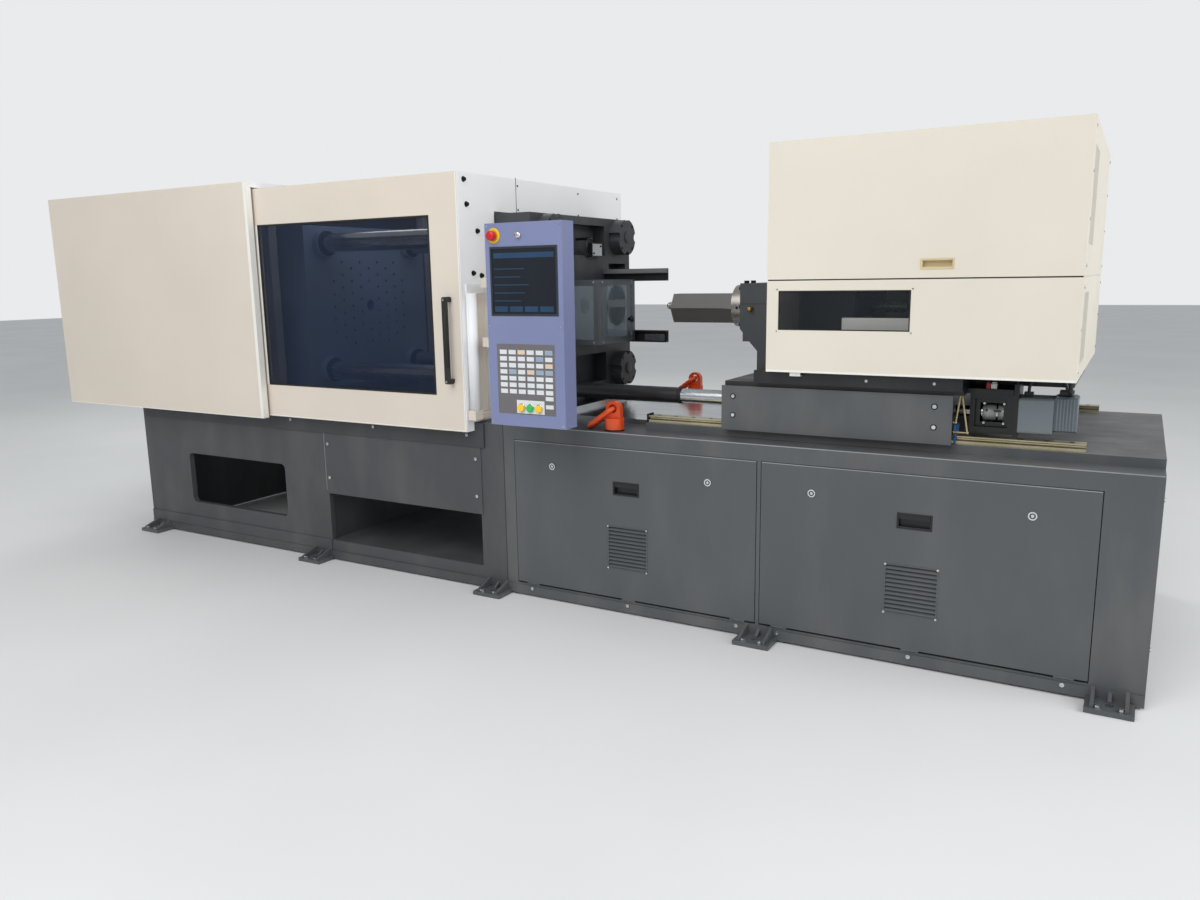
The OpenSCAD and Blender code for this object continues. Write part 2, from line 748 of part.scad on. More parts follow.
// Front toggle link, from the middle pin to the moving platen
module link_front(s) {
  zb = axis_z + s * bz;
  zc = axis_z + s * pin_h;
  color("#7b8085") {
    for (t = [-1, 1])
      difference() {
        yslab(t * 205, t * 245)
          bar2d([bx, zb], [cx, zc], 44);
        yrod(t > 0 ? 204 : -246, t > 0 ? 246 : -204, bx, zb, 26.3);
      }
    for (t = [-1, 1])
      yrod(t > 0 ? 206 : -288, t > 0 ? 288 : -206, cx, zc, 30);
  }
}

module link_front_up() { link_front(1); }
module link_front_low() { link_front(-1); }

module cross_link(s) {
  zd = axis_z + s * dz;
  ze = axis_z + s * ez;
  color("#84898e")
    for (t = [-1, 1]) {
      difference() {
        yslab(t * 115, t * 150)
          bar2d([ex, ze], [dx, zd], 32);
        yrod(t > 0 ? 114 : -151, t > 0 ? 151 : -114, dx, zd, 18.3);
      }
      yrod(t > 0 ? 68 : -116, t > 0 ? 116 : -68, ex, ze, 18);
    }
}

module cross_link_up() { cross_link(1); }
module cross_link_low() { cross_link(-1); }

module crosshead() {
  color("#5a5f64")
    difference() {
      block([ex - 48, -106, axis_z - 125], [ex + 48, 106, axis_z + 125]);
      xrod(ex - 49, ex + 49, 0, axis_z, 28.5);
      for (s = [-1, 1], t = [-1, 1])
        yrod(t > 0 ? 62 : -107, t > 0 ? 107 : -62, ex, axis_z + s * ez, 27);
    }
}

// Sliding front gate: folded skin with a large window
module gate_front() {
  color(cream)
    difference() {
      block([gate_x0, -gate_y1, gate_z0], [gate_x1, -gate_y0, gate_top]);
      block([gate_x0 + 4, -gate_y1 + 10, gate_z0 + 4], [gate_x1 - 4, -gate_y0 + 1, win_z0 - 30]);
      block([gate_x0 + 4, -gate_y1 + 10, win_z1 + 30], [gate_x1 - 4, -gate_y0 + 1, gate_top - 4]);
      block([win_x1 + 30, -gate_y1 + 10, gate_z0 + 4], [gate_x1 - 4, -gate_y0 + 1, gate_top - 4]);
      yslab(-gate_y1 - 1, -gate_y0 + 1) rrect([win_x0, win_z0], [win_x1, win_z1], 6);
      block([win_x0 - 12, -gate_y1 + 4, win_z0 - 12], [win_x1 + 12, -gate_y0 + 1, win_z1 + 12]);
    }
  gate_runners(-1);
}

// Hangers on the upper track and guides on the lower one
module gate_runners(s) {
  color(cream)
    for (x = [gate_x0 + 160, gate_x1 - 240]) {
      block([x, s * (gate_y1 - 9), head_z0 + 4], [x + 80, s * (track_y1 + run_gap), track_z1 - 4]);
      block([x, s * (gate_y1 - 9), low_track[0] + 2], [x + 80, s * (hw + 10 + run_gap), low_track[1] - 2]);
    }
}

module gate_pane() {
  color("#38506e", 0.45)
    block([win_x0 - 11, -gate_y1 + 4, win_z0 - 11], [win_x1 + 11, -gate_y1 + 10, win_z1 + 11]);
}

// Upright pull on two standoffs
module gate_handle() {
  color(black)
    difference() {
      xslab(grip_x[0], grip_x[1])
        rrect([-gate_y1 - 46, grip_z[0]], [-gate_y1, grip_z[1]], 12);
      block([grip_x[0] - 1, -gate_y1 - 28, grip_z[0] + 23], [grip_x[1] + 1, -gate_y1 + 1, grip_z[1] - 23]);
      block([grip_x[0] - 1, -gate_y1, grip_z[0] - 5], [grip_x[1] + 1, -gate_y1 + 2, grip_z[1] + 10]);
    }
}

module gate_rear() {
  color(cream)
    difference() {
      block([gate_x0, gate_y0, gate_z0], [gate_x1, gate_y1, gate_top]);
      block([gate_x0 + 4, gate_y0 - 1, gate_z0 + 4], [gate_x1 - 4, gate_y1 - 9, gate_top - 4]);
      block([gate_x0 + 60, gate_y0 - 1, gate_z0 + 60], [gate_x1 - 60, gate_y1 - 4, gate_top - 60]);
      block([grip_x[0], gate_y1 - 3, grip_z[0]], [grip_x[1], gate_y1 + 1, grip_z[1]]);
    }
  gate_runners(1);
}

// Control panel housing with its hinge barrel
module panel_housing() {
  color("#c9cdd2") {
    difference() {
      block([pan_x0, pan_y0, pan_z0], [pan_x1, pan_y1, pan_z1]);
      block([pan_x0 + 28, pan_y0 - 1, pan_z1 - 366], [pan_x1 - 28, pan_y0 + 5, pan_z1 - 100]);
      block([pan_x0 + 46, pan_y0 - 1, pan_z0 + 128], [pan_x1 - 46, pan_y0 + 2, pan_z0 + 330]);
      for (x = key_xs)
        yrod(pan_y0 - 1, pan_y0 + 32, x, key_z, 9);
      yrod(pan_y0 - 1, pan_y0 + 32, stop_x, stop_z, 9);
    }
    difference() {
      union() {
        zrod(barrel_z[0] + run_gap, barrel_z[1] - run_gap, hinge_x, hinge_y, 16);
        block([hinge_x, hinge_y - 16, barrel_z[0] + run_gap], [pan_x0 + 30, hinge_y, barrel_z[1] - run_gap]);
      }
      zrod(barrel_z[0] - 1, barrel_z[1] + 1, hinge_x, hinge_y, 9.3);
    }
  }
}

module panel_display() {
  color("#10151c")
    block([pan_x0 + 28.5, pan_y0 + 1, pan_z1 - 365.5], [pan_x1 - 28.5, pan_y0 + 5, pan_z1 - 100.5]);
}

// Keypad sheet with raised keys in rows
module panel_keys() {
  kx = (pan_x1 - pan_x0 - 104) / 6;
  color("#dfe2e4") {
    block([pan_x0 + 46.5, pan_y0 + 0.5, pan_z0 + 128.5], [pan_x1 - 46.5, pan_y0 + 2, pan_z0 + 329.5]);
    for (i = [0:5], j = [0:6])
      translate([pan_x0 + 52 + i * kx + 5, pan_y0 - 1.5, pan_z0 + 136 + j * 27])
        cube([kx - 10, 2.5, 18]);
  }
}

// Round lit push button
module button(x, c) {
  color(c) {
    yrod(pan_y0 - 13, pan_y0 - 5, x, key_z, 15);
    yrod(pan_y0 - 5, pan_y0 + 24, x, key_z, 8.6);
  }
}

module button_a() { button(key_xs[0], "#e8c33a"); }
module button_b() { button(key_xs[1], "#45b26b"); }
module button_c() { button(key_xs[2], "#e8c33a"); }

// Mushroom stop button
module estop() {
  color("#c8202a") {
    yrod(pan_y0 - 26, pan_y0 - 12, stop_x, stop_z, 20);
    yrod(pan_y0 - 12, pan_y0 + 22, stop_x, stop_z, 8.6);
  }
}

// Sled: rail blocks, side boxes and the black plate under the hood
module carriage() {
  color("#232528")
    difference() {
      union() {
        for (s = [-1, 1]) {
          block([car_x0 + 10, s * 470, rail_top + 4], [car_x1 - 10, s * (car_y - 12), car_z1]);
          for (x = [car_x0 + 10, car_x1 - 150]) {
            block([x, s * 488, rail_top + 0.3], [x + 140, s * 558, rail_top + 4]);
            block([x, s * (rail_y + 25.3), bed_z + 14], [x + 140, s * 558, rail_top + 0.3]);
            block([x, s * 488, bed_z + 14], [x + 140, s * (rail_y - 25.3), rail_top + 0.3]);
          }
        }
        for (x = [car_x0 + 100, car_x1 - 140])
          block([x, -470, car_z0 + 62], [x + 100, 470, car_z1]);
        block([car_x0 + 10, -car_y + 12, car_z1], [wide_x1, car_y - 12, plate_z0]);
        block([wide_x1, -500, car_z1], [mot_x1 - 2, 500, plate_z0]);
        block([hood_x0 - 60, -hood_y + 30, plate_z0], [wide_x1, hood_y - 30, plate_z1]);
        block([wide_x1, -350, plate_z0], [hood_x1 - 20, 350, plate_z1]);
      }
      xrod(car_x0 + 90, car_x1, drive_y, drive_z, 20);
    }
}

module side_plates() {
  color(charcoal)
    for (s = [-1, 1])
      difference() {
        block([car_x0, s * (car_y - 12), car_z0], [car_x1, s * car_y, car_z1]);
        for (x = [car_x0 + 50, car_x1 - 62], z = [car_z0 + 62, car_z1 - 42])
          yrod(s > 0 ? car_y - 5 : -car_y - 1, s > 0 ? car_y + 1 : -car_y + 5, x, z, 7);
      }
}

// Feed casting that holds the barrel, with the feed throat in its top
module feed_casting() {
  color("#2b2d30")
    difference() {
      union() {
        yslab(-cast_y, cast_y)
          polygon([[cast_x0, cast_top], [cast_x0, axis_z - 89], [cast_x0 + 14, axis_z - 106],
                   [cast_x0 + 14, axis_z - 144], [cast_x0 + 44, axis_z - 144],
                   [cast_x0 + 81, axis_z - 184], [cast_x0 + 81, plate_z0], [hood_x0 - 60, plate_z0],
                   [hood_x0 - 60, plate_z1], [cast_x1, plate_z1], [cast_x1, cast_top]]);
        zrod(cast_top, cast_top + 14, throat_x, 0, 95);
      }
      xrod(cast_x0 - 1, cast_x1 + 1, 0, axis_z, barrel_r);
      zrod(axis_z + 57, cast_top + 15, throat_x, 0, throat_r);
      zrod(axis_z, cast_top, throat_x, 0, 22);
      for (x = [throat_x - 55, throat_x + 55], y = [-55, 55])
        zrod(cast_top - 20, cast_top + 15, x, y, 6);
      for (s = [-1, 1])
        block([cast_x0 - 1, s * 150, axis_z - 76], [cast_x0 + 30, s * 240, axis_z + 74]);
      block([cast_x0 + 110, -230, plate_z1 + 14], [cast_x1 + 1, 230, axis_z - 90]);
    }
}

module barrel() {
  color(steel)
    difference() {
      union() {
        xrod(640, 1480, 0, axis_z, barrel_r);
        translate([560, 0, axis_z]) rotate([0, 90, 0]) cylinder(h = 80, r1 = 18, r2 = barrel_r - 8);
        xrod(540, 560, 0, axis_z, 18);
        xrod(collar_x0, cast_x0, 0, axis_z, barrel_r + 45);
      }
      xrod(539, 670, 0, axis_z, 4);
      xrod(660, 1481, 0, axis_z, 26);
      zrod(axis_z, axis_z + 120, throat_x, 0, 22);
    }
}

// Six-sided sheet metal guard round the heated barrel
module barrel_cover() {
  color("#7e8083")
    xslab(577, collar_x0 - 1)
      difference() {
        circle_hex(hex_in + 2.5);
        circle_hex(hex_in);
      }
}

module circle_hex(r) {
  translate([0, hex_z]) polygon([for (a = [0:60:300]) [r * cos(a), r * sin(a)] / cos(30)]);
}

// Polished carriage drive rod with its coupling
module drive_rod() {
  color("#c4c6c8") {
    xrod(780, car_x0 + 100, drive_y, drive_z, 31);
    xrod(car_x0 + 100, mot_x0 + 36, drive_y, drive_z, 20);
    xrod(mot_x0 + 36, mot_x1 - 34, drive_y, drive_z, 30);
    xrod(mot_x1 - 34, mot_x1, drive_y, drive_z, 12);
  }
}

// Sled servo motor in its open coupling bracket, with its leads, hose and two oil tubes
module sled_motor() {
  color("#2f3235")
    difference() {
      block([mot_x0, drive_y - 62, drive_z - 71], [mot_x1, drive_y + 62, car_z1]);
      block([mot_x0 + 18, drive_y - 63, drive_z - 47], [mot_x1 - 18, drive_y + 63, drive_z + 57]);
      xrod(mot_x0 - 1, mot_x0 + 19, drive_y, drive_z, 25);
      xrod(mot_x1 - 19, mot_x1 + 1, drive_y, drive_z, 25);
    }
  color("#4a4d51") {
    block([mot_x1, drive_y - 68, drive_z - 77], [mot_x2, drive_y + 68, plate_z0 + 20]);
    xslab(mot_x2, mot_x3)
      rrect([drive_y - mot_half, drive_z - mot_half], [drive_y + mot_half, drive_z + mot_half], 14);
    xslab(mot_x3, mot_x4)
      rrect([drive_y - 52, drive_z - 53], [drive_y + 52, drive_z + 71], 10);
    block([mot_x4 - 61, drive_y - 26, drive_z + 71], [mot_x4 - 16, drive_y + 26, drive_z + 91]);
    block([mot_x2 + 12, drive_y - 24, drive_z + mot_half], [mot_x2 + 42, drive_y + 8, drive_z + mot_half + 16]);
  }
  color(black) {
    lead(mot_x2 + 27, mot_x4 - 38, drive_y - 14, drive_z + 91, 5.5);
    zrod(drive_z + mot_half + 16, drive_z + 91, mot_x2 + 27, drive_y - 14, 5.5);
    lead(mot_x0 + 74, mot_x1 + 8, drive_y - 50, plate_z0 + 20, 4);
    zrod(plate_z0, plate_z0 + 20, mot_x0 + 74, drive_y - 50, 4);
    hose();
  }
  color("#c2ad78") {
    rod([wide_x1 - 9, -560, car_z1 - 0.5], [wide_x1 + 15, -560, bed_z + 45], 3);
    rod([wide_x1 + 15, -560, bed_z + 45], [car_x1 - 10, -560, bed_z + 45], 3);
    rod([wide_x1 - 13, -570, car_z1 - 0.5], [car_x1 + 8, -570, bed_z + 82], 3);
    rod([car_x1 + 8, -570, bed_z + 82], [car_x1 - 10, -570, bed_z + 82], 3);
    for (p = [[wide_x1 + 15, -560, bed_z + 45], [car_x1 + 8, -570, bed_z + 82]])
      translate(p) sphere(5);
  }
}

// Lead that arches from one plug to the next
module lead(x0, x1, y, z, r) {
  translate([(x0 + x1) / 2, y, z]) rotate([90, 0, 0])
    rotate_extrude(angle = 180) translate([(x1 - x0) / 2, 0]) circle(r);
}

// Hose from the encoder's plug up into the hood
module hose() {
  x = mot_x4 - 24;
  z = drive_z + 81;
  y = drive_y - 26;
  yrod(y - 24, y, x, z, 7.5);
  translate([x, y - 24, z + 20]) rotate([0, -90, 0]) rotate([0, 0, 180])
    rotate_extrude(angle = 90) translate([20, 0]) circle(7.5);
  zrod(z + 20, plate_z1, x, y - 44, 7.5);
}

// Straight rod between two points
module rod(a, b, r) {
  d = b - a;
  translate(a) rotate([0, acos(d.z / norm(d)), atan2(d.y, d.x)]) cylinder(h = norm(d), r = r);
}

// Lower hood: walls on the sled plate, cut out for the casting and the window
module cover_lower() {
  color(cream)
    difference() {
      block([hood_x0, -hood_y, plate_z1], [hood_x1, hood_y, hood_split]);
      block([hood_x0 + 3, -hood_y + 3, plate_z1 + 4], [hood_x1 - 3, hood_y - 3, hood_split - 4]);
      block([hood_x0 + 20, -hood_y + 20, hood_split - 5], [hood_x1 - 20, hood_y - 20, hood_split + 1]);
      block([hood_x0 + 30, -hood_y + 60, plate_z1 - 1], [hood_x1 - 30, hood_y - 60, plate_z1 + 5]);
      block([hood_x0 - 1, -cast_y - 4, plate_z1 - 1], [hood_x0 + 31, cast_y + 4, hood_split + 1]);
      block([hood_x0 - 1, -cast_y - 4, plate_z1 - 1], [cast_x1 + 4, cast_y + 4, plate_z1 + 5]);
      block([hood_x0 + 46, -hood_y - 1, plate_z1 + 161], [hood_x0 + 536, -hood_y + 4, plate_z1 + 309]);
      for (i = [0:7])
        block([hood_x1 - 4, -560 + i * 34, plate_z1 + 54], [hood_x1 + 1, -544 + i * 34, hood_split - 52]);
    }
  for (x = lid_xs, t = [-1, 1])
    lid_leaf(x + t * 32, 15, -1);
}

// Half of a hood hinge: knuckle and leaf, on the lower or the upper wall
module lid_leaf(x, half, s) {
  color(cream) {
    difference() {
      xrod(x - half, x + half, lid_py, lid_pz, lid_r);
      if (s < 0)
        xrod(x - half - 1, x + half + 1, lid_py, lid_pz, 3);
    }
    difference() {
      block([x - half, hood_y, lid_pz + s * 2], [x + half, hood_y + 2.5, lid_pz + s * 36]);
      xrod(x - half - 1, x + half + 1, lid_py, lid_pz, lid_r - 1);
    }
  }
}

module cover_window() {
  color("#9fb4c4", 0.4)
    block([hood_x0 + 36, -hood_y + 3, plate_z1 + 151], [hood_x0 + 546, -hood_y + 8, plate_z1 + 319]);
}

module screw() {
  color("#b4b6b8") {
    xrod(880, ram_x0 - 0.3, 0, axis_z, 25.7);
    translate([856, 0, axis_z]) rotate([0, 90, 0]) cylinder(h = 24, r1 = 4, r2 = 25.7);
  }
}

// Plate that turns and pushes the screw, with its plasticising motor
module pressure_plate() {
  color("#3c4146") {
    block([ram_x0, -300, axis_z - 166], [ram_x1, 300, ram_top]);
    xrod(ram_x1, ram_x1 + ram_motor_l, 0, axis_z, ram_motor_r);
    for (s = [-1, 1])
      block([ram_x0, s * 240, plate_z1 + 0.5], [ram_x1, s * 300, axis_z - 166]);
  }
}

// Upper hood with a roof, hinged at the rear edge
module cover_upper() {
  color(cream)
    difference() {
      union() {
        block([hood_x0, -hood_y, hood_split + 5], [hood_x1, hood_y, hood_top]);
        block([hood_x0 + 3, -hood_y + 3, hood_split + 0.3], [hood_x1 - 3, hood_y - 3, hood_split + 30]);
      }
      block([hood_x0 + 6, -hood_y + 6, hood_split], [hood_x1 - 6, hood_y - 6, hood_split + 31]);
      block([hood_x0 + 3, -hood_y + 3, hood_split + 30], [hood_x1 - 3, hood_y - 3, hood_top - 3]);
      block([hood_x0 + 568, -hood_y - 1, hood_split + 40], [hood_x0 + 672, -hood_y + 4, hood_split + 66]);
      for (i = [0:7])
        block([hood_x1 - 4, -560 + i * 34, hood_split + 108], [hood_x1 + 1, -544 + i * 34, hood_top - 80]);
    }
  for (x = lid_xs) {
    lid_leaf(x, 16, 1);
    color(steel)
      xrod(x - 47, x + 47, lid_py, lid_pz, 2.7);
  }
  // Recessed finger pull
  color("#a8927a")
    difference() {
      block([hood_x0 + 562, -hood_y + 3, hood_split + 34], [hood_x0 + 678, -hood_y + 26, hood_split + 72]);
      block([hood_x0 + 568, -hood_y + 2, hood_split + 40], [hood_x0 + 672, -hood_y + 23, hood_split + 66]);
    }
}

// Clear guard box round the nozzle, framed at its corners and open towards the barrel
module purge_guard() {
  color("#4b4f54", 0.8)
    difference() {
      block([guard_x0, -guard_y, guard_z0], [guard_x1, guard_y, guard_z1]);
      block([guard_x0 - 1, -guard_y + 6, guard_z0 + 6], [guard_x1 - 6, guard_y - 6, guard_z1 - 6]);
      block([guard_x1 - 7, -guard_y + 28, guard_z0 + 28], [guard_x1 + 1, guard_y - 28, guard_z1 - 28]);
      for (s = [-1, 1])
        block([guard_x0 + 26, s * (guard_y - 7), guard_z0 + 26], [guard_x1 - 26, s * (guard_y + 1), guard_z1 - 26]);
      block([guard_x0 + 26, -guard_y + 26, guard_z0 - 1], [guard_x1 - 26, guard_y - 26, guard_z1 + 1]);
    }
}

base_clamp();
base_injection();
apron_panels();
foot_brackets();
bed_tray();
carriage_rails();
rear_platen();
stationary_platen();
tie_bars();
tie_caps();
clamp_drive();
cover_frame();
side_covers();
roof_cover();
portal();
drive_tube();
guard_rails();
panel_arm();
door_a();
door_b();
lock_a1();
lock_a2();
lock_b1();
lock_b2();
eye_front();
ring_front();
eye_rear();
ring_rear();
moving_platen();
link_rear_up();
link_rear_low();
link_front_up();
link_front_low();
cross_link_up();
cross_link_low();
crosshead();
gate_front();
gate_pane();
gate_handle();
gate_rear();
panel_housing();
panel_display();
panel_keys();
button_a();
button_b();
button_c();
estop();
carriage();
side_plates();
feed_casting();
barrel();
barrel_cover();
drive_rod();
sled_motor();
cover_lower();
cover_window();
screw();
pressure_plate();
cover_upper();
purge_guard();
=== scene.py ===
import bpy
import math
from itertools import product
from mathutils import Matrix, Vector


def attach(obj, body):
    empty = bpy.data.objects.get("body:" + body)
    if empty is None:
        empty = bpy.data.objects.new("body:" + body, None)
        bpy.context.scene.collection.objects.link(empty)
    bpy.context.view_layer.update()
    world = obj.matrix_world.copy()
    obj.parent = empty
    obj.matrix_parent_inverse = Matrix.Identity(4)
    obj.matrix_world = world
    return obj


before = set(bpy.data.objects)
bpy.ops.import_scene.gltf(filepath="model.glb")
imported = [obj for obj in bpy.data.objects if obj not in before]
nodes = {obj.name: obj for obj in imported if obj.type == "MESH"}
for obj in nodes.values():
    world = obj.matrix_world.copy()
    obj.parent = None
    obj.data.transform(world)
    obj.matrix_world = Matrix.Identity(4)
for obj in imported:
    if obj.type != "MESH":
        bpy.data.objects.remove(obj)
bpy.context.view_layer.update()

# Directions: X runs right, Y to the rear and Z up
RIGHT, LEFT, REAR, FRONT, UP, DOWN = (1, 0, 0), (-1, 0, 0), (0, 1, 0), (0, -1, 0), (0, 0, 1), (0, 0, -1)
SIDES = (-1, 1)

# Places and sizes that the solids have, in metres
BASE_FRONT = -0.687  # Y of the base's front sheets
LEDGE = 0.802  # Z of the base's top
FEET = (-2.523, -1.19, -0.03, 1.268, 2.523)  # X of the foot plates
BED = 0.835  # Z of the bed under the rails
RAIL_Y = 0.523  # Y of the rails' middle
AXIS = 1.316  # Z of the barrel's and the clamp's middle line
TIE = 0.345  # Y and Z of the tie bars from that line
DOORS = ((0.083, 1.245), (1.266, 2.452))  # X of each door's two edges
DOOR_FACE = -0.688  # Y
PULLS = (0.658, 1.855)  # X of the doors' pull cups
VENTS = (0.663, 1.852)  # X of the doors' louvres
LOCK_Z = 0.628
GATE_FRONT = -0.751  # Y
GATE_WINDOW = (-1.447, -0.309, 0.932, 1.74)  # X, X, Z, Z
GATE_PULL = -0.205  # X
COVER_END, COVER_SEAM = -3.163, -1.442  # X of the side covers' two ends
COVER_TOP = 1.956  # Z
PORTAL = -0.135  # X of the white end frame's face
PANEL = (0.163, 0.535, -0.962, 0.852, 1.678)  # X, X, Y of the face, Z, Z
BUTTONS, BUTTON_Z = (0.323, 0.366, 0.409), 0.93
HOOD = (1.264, 2.345, 0.654)  # X, X, Y of the rear side
HOOD_BOTTOM, HOOD_SPLIT = 1.086, 1.432  # Z
SIDE_PLATE = -0.604  # Y
DRIVE = (-0.43, 0.943)  # Y and Z of the carriage drive's middle line
GUARD = (0.063, 0.247, 0.188, 1.132, 1.444)  # X, X, Y of the rear side, Z, Z


# Camera: where the photograph was taken from
def make_camera():
    yaw, pitch, roll = (math.radians(a) for a in (30.075, 10.533, -0.8987))
    ahead = Vector((-math.sin(yaw), math.cos(yaw), 0))
    right = Vector((math.cos(yaw), math.sin(yaw), 0))
    up = Vector((0, 0, 1))
    ahead, up = (ahead * math.cos(pitch) - up * math.sin(pitch),
                 up * math.cos(pitch) + ahead * math.sin(pitch))
    right, up = (right * math.cos(roll) + up * math.sin(roll),
                 up * math.cos(roll) - right * math.sin(roll))
    data = bpy.data.cameras.new("Camera")
    data.lens = 27.92
    data.sensor_width = 36
    data.clip_end = 200
    camera = bpy.data.objects.new("Camera", data)
    bpy.context.scene.collection.objects.link(camera)
    turn = Matrix((right, up, -ahead)).transposed().to_4x4()
    camera.matrix_world = Matrix.Translation((2.5138, -4.1081, 1.4574)) @ turn
    bpy.context.scene.camera = camera


# Surfaces
def srgb(code):
    def linear(v):
        return v / 12.92 if v <= 0.04045 else ((v + 0.055) / 1.055) ** 2.4
    return tuple(linear(int(code[i:i + 2], 16) / 255) for i in (1, 3, 5)) + (1.0,)


def put(tree, kind, settings=None, links=None):
    """Adds a node: settings name its sockets or properties, links name the output each socket takes."""
    node = tree.nodes.new(kind)
    for key, value in (settings or {}).items():
        if isinstance(key, int) or key in node.inputs:
            node.inputs[key].default_value = value
        else:
            setattr(node, key, value)
    for key, source in (links or {}).items():
        tree.links.new(source, node.inputs[key])
    return node


def ramp(tree, source, stops):
    node = put(tree, "ShaderNodeValToRGB", links={"Fac": source})
    while len(node.color_ramp.elements) < len(stops):
        node.color_ramp.elements.new(0.5)
    for element, (place, colour) in zip(node.color_ramp.elements, stops):
        element.position = place
        element.color = colour if isinstance(colour, tuple) else (colour, colour, colour, 1)
    return node.outputs["Color"]


def grey(v):
    return (v, v, v, 1)


def start(name):
    made = bpy.data.materials.new(name)
    made.use_nodes = True
    tree = made.node_tree
    tree.nodes.clear()
    place = put(tree, "ShaderNodeTexCoord").outputs["Object"]
    return made, tree, place


def finish_surface(tree, shader):
    put(tree, "ShaderNodeOutputMaterial", links={"Surface": shader.outputs[0]})


def material(name, kind, *looks):
    made, tree, place = start(name)
    finish_surface(tree, kind(tree, place, *looks))
    return made


def inside(tree, place, low, high):
    """1 within the box between two corners, 0 outside it."""
    middle = [(a + b) / 2 for a, b in zip(low, high)]
    half = [(b - a) / 2 for a, b in zip(low, high)]
    away = put(tree, "ShaderNodeVectorMath", {"operation": "SUBTRACT", 1: middle}, {0: place})
    away = put(tree, "ShaderNodeVectorMath", {"operation": "ABSOLUTE"}, {0: away.outputs[0]})
    away = put(tree, "ShaderNodeVectorMath", {"operation": "SUBTRACT", 1: half}, {0: away.outputs[0]})
    parts = put(tree, "ShaderNodeSeparateXYZ", links={0: away.outputs[0]})
    most = put(tree, "ShaderNodeMath", {"operation": "MAXIMUM"}, {0: parts.outputs[0], 1: parts.outputs[1]})
    most = put(tree, "ShaderNodeMath", {"operation": "MAXIMUM"}, {0: most.outputs[0], 1: parts.outputs[2]})
    return put(tree, "ShaderNodeMath", {"operation": "LESS_THAN", 1: 0.0}, {0: most.outputs[0]}).outputs[0]


def zoned(tree, place, ground, *zones):
    """One finish over a piece, and another one within each box of it."""
    kind, looks = ground
    shader = kind(tree, place, *looks)
    for low, high, kind, looks in zones:
        over = kind(tree, place, *looks)
        shader = put(tree, "ShaderNodeMixShader",
                     links={0: inside(tree, place, low, high), 1: shader.outputs[0], 2: over.outputs[0]})
    return shader


def noise(tree, place, scale, detail=3.0, stretch=None):
    if stretch:
        place = put(tree, "ShaderNodeMapping", {"Scale": stretch}, {"Vector": place}).outputs[0]
    return put(tree, "ShaderNodeTexNoise", {"Scale": scale, "Detail": detail}, {"Vector": place}).outputs["Fac"]


def painted(tree, place, colour, shade, roughness, grain, grain_scale, dust=0.0, metal=0.0, coat=0.0):
    """Sprayed or powder-coated metal: slow drift of tone, a fine orange-peel skin and smears of dust."""
    drift = noise(tree, place, 1.3, 4.0)
    tone = ramp(tree, drift, [(0.32, srgb(shade)), (0.68, srgb(colour))])
    if dust:
        smear = noise(tree, place, 5.5, 6.0, (1.0, 1.0, 0.35))
        mask = ramp(tree, smear, [(0.46, grey(0.0)), (0.72, grey(dust))])
        tone = put(tree, "ShaderNodeMix", {"data_type": "RGBA", 7: srgb("#a9a59b")},
                   {"Factor": mask, 6: tone}).outputs[2]
    rough = ramp(tree, noise(tree, place, 9.0, 5.0),
                 [(0.3, grey(roughness - 0.06)), (0.7, grey(roughness + 0.07))])
    skin = noise(tree, place, grain_scale, 2.0)
    bump = put(tree, "ShaderNodeBump", {"Strength": grain, "Distance": 0.0006}, {"Height": skin})
    return put(tree, "ShaderNodeBsdfPrincipled",
               {"Metallic": metal, "Coat Weight": coat, "Coat Roughness": 0.15},
               {"Base Color": tone, "Roughness": rough, "Normal": bump.outputs["Normal"]})


def bare_metal(tree, place, colour, shade, roughness, stretch, scale=180.0, strength=0.25):
    """Ground or drawn metal: fine lines along the way it was worked, and patches of oil film."""
    patch = noise(tree, place, 4.0, 5.0)
    tone = ramp(tree, patch, [(0.35, srgb(shade)), (0.65, srgb(colour))])
    lines = noise(tree, place, scale, 2.0, stretch)
    rough = ramp(tree, lines, [(0.3, grey(roughness - 0.07)), (0.7, grey(roughness + 0.09))])
    bump = put(tree, "ShaderNodeBump", {"Strength": strength, "Distance": 0.0003}, {"Height": lines})
    return put(tree, "ShaderNodeBsdfPrincipled", {"Metallic": 1.0},
               {"Base Color": tone, "Roughness": rough, "Normal": bump.outputs["Normal"]})


def plastic(tree, place, colour, shade, roughness, grain=0.12, grain_scale=420.0, glow=0.0):
    """Moulded plastic: an even colour with a fine spark-eroded texture from the mould."""
    tone = ramp(tree, noise(tree, place, 6.0, 3.0), [(0.3, srgb(shade)), (0.7, srgb(colour))])
    rough = ramp(tree, noise(tree, place, 30.0, 3.0),
                 [(0.3, grey(roughness - 0.04)), (0.7, grey(roughness + 0.05))])
    skin = noise(tree, place, grain_scale, 2.0)
    bump = put(tree, "ShaderNodeBump", {"Strength": grain, "Distance": 0.0004}, {"Height": skin})
    settings = {"IOR": 1.5}
    if glow:
        settings.update({"Emission Color": srgb(colour), "Emission Strength": glow})
    return put(tree, "ShaderNodeBsdfPrincipled", settings,
               {"Base Color": tone, "Roughness": rough, "Normal": bump.outputs["Normal"]})


def pane(tree, place, colour, shade, alpha, roughness):
    """Cast acrylic or polycarbonate sheet: a see-through tint with faint wipe marks in its gloss."""
    tone = ramp(tree, noise(tree, place, 2.0, 3.0), [(0.35, srgb(shade)), (0.65, srgb(colour))])
    wipes = noise(tree, place, 7.0, 5.0, (1.0, 1.0, 3.0))
    rough = ramp(tree, wipes, [(0.4, grey(roughness)), (0.8, grey(roughness + 0.14))])
    return put(tree, "ShaderNodeBsdfPrincipled", {"Alpha": alpha, "IOR": 1.49},
               {"Base Color": tone, "Roughness": rough})


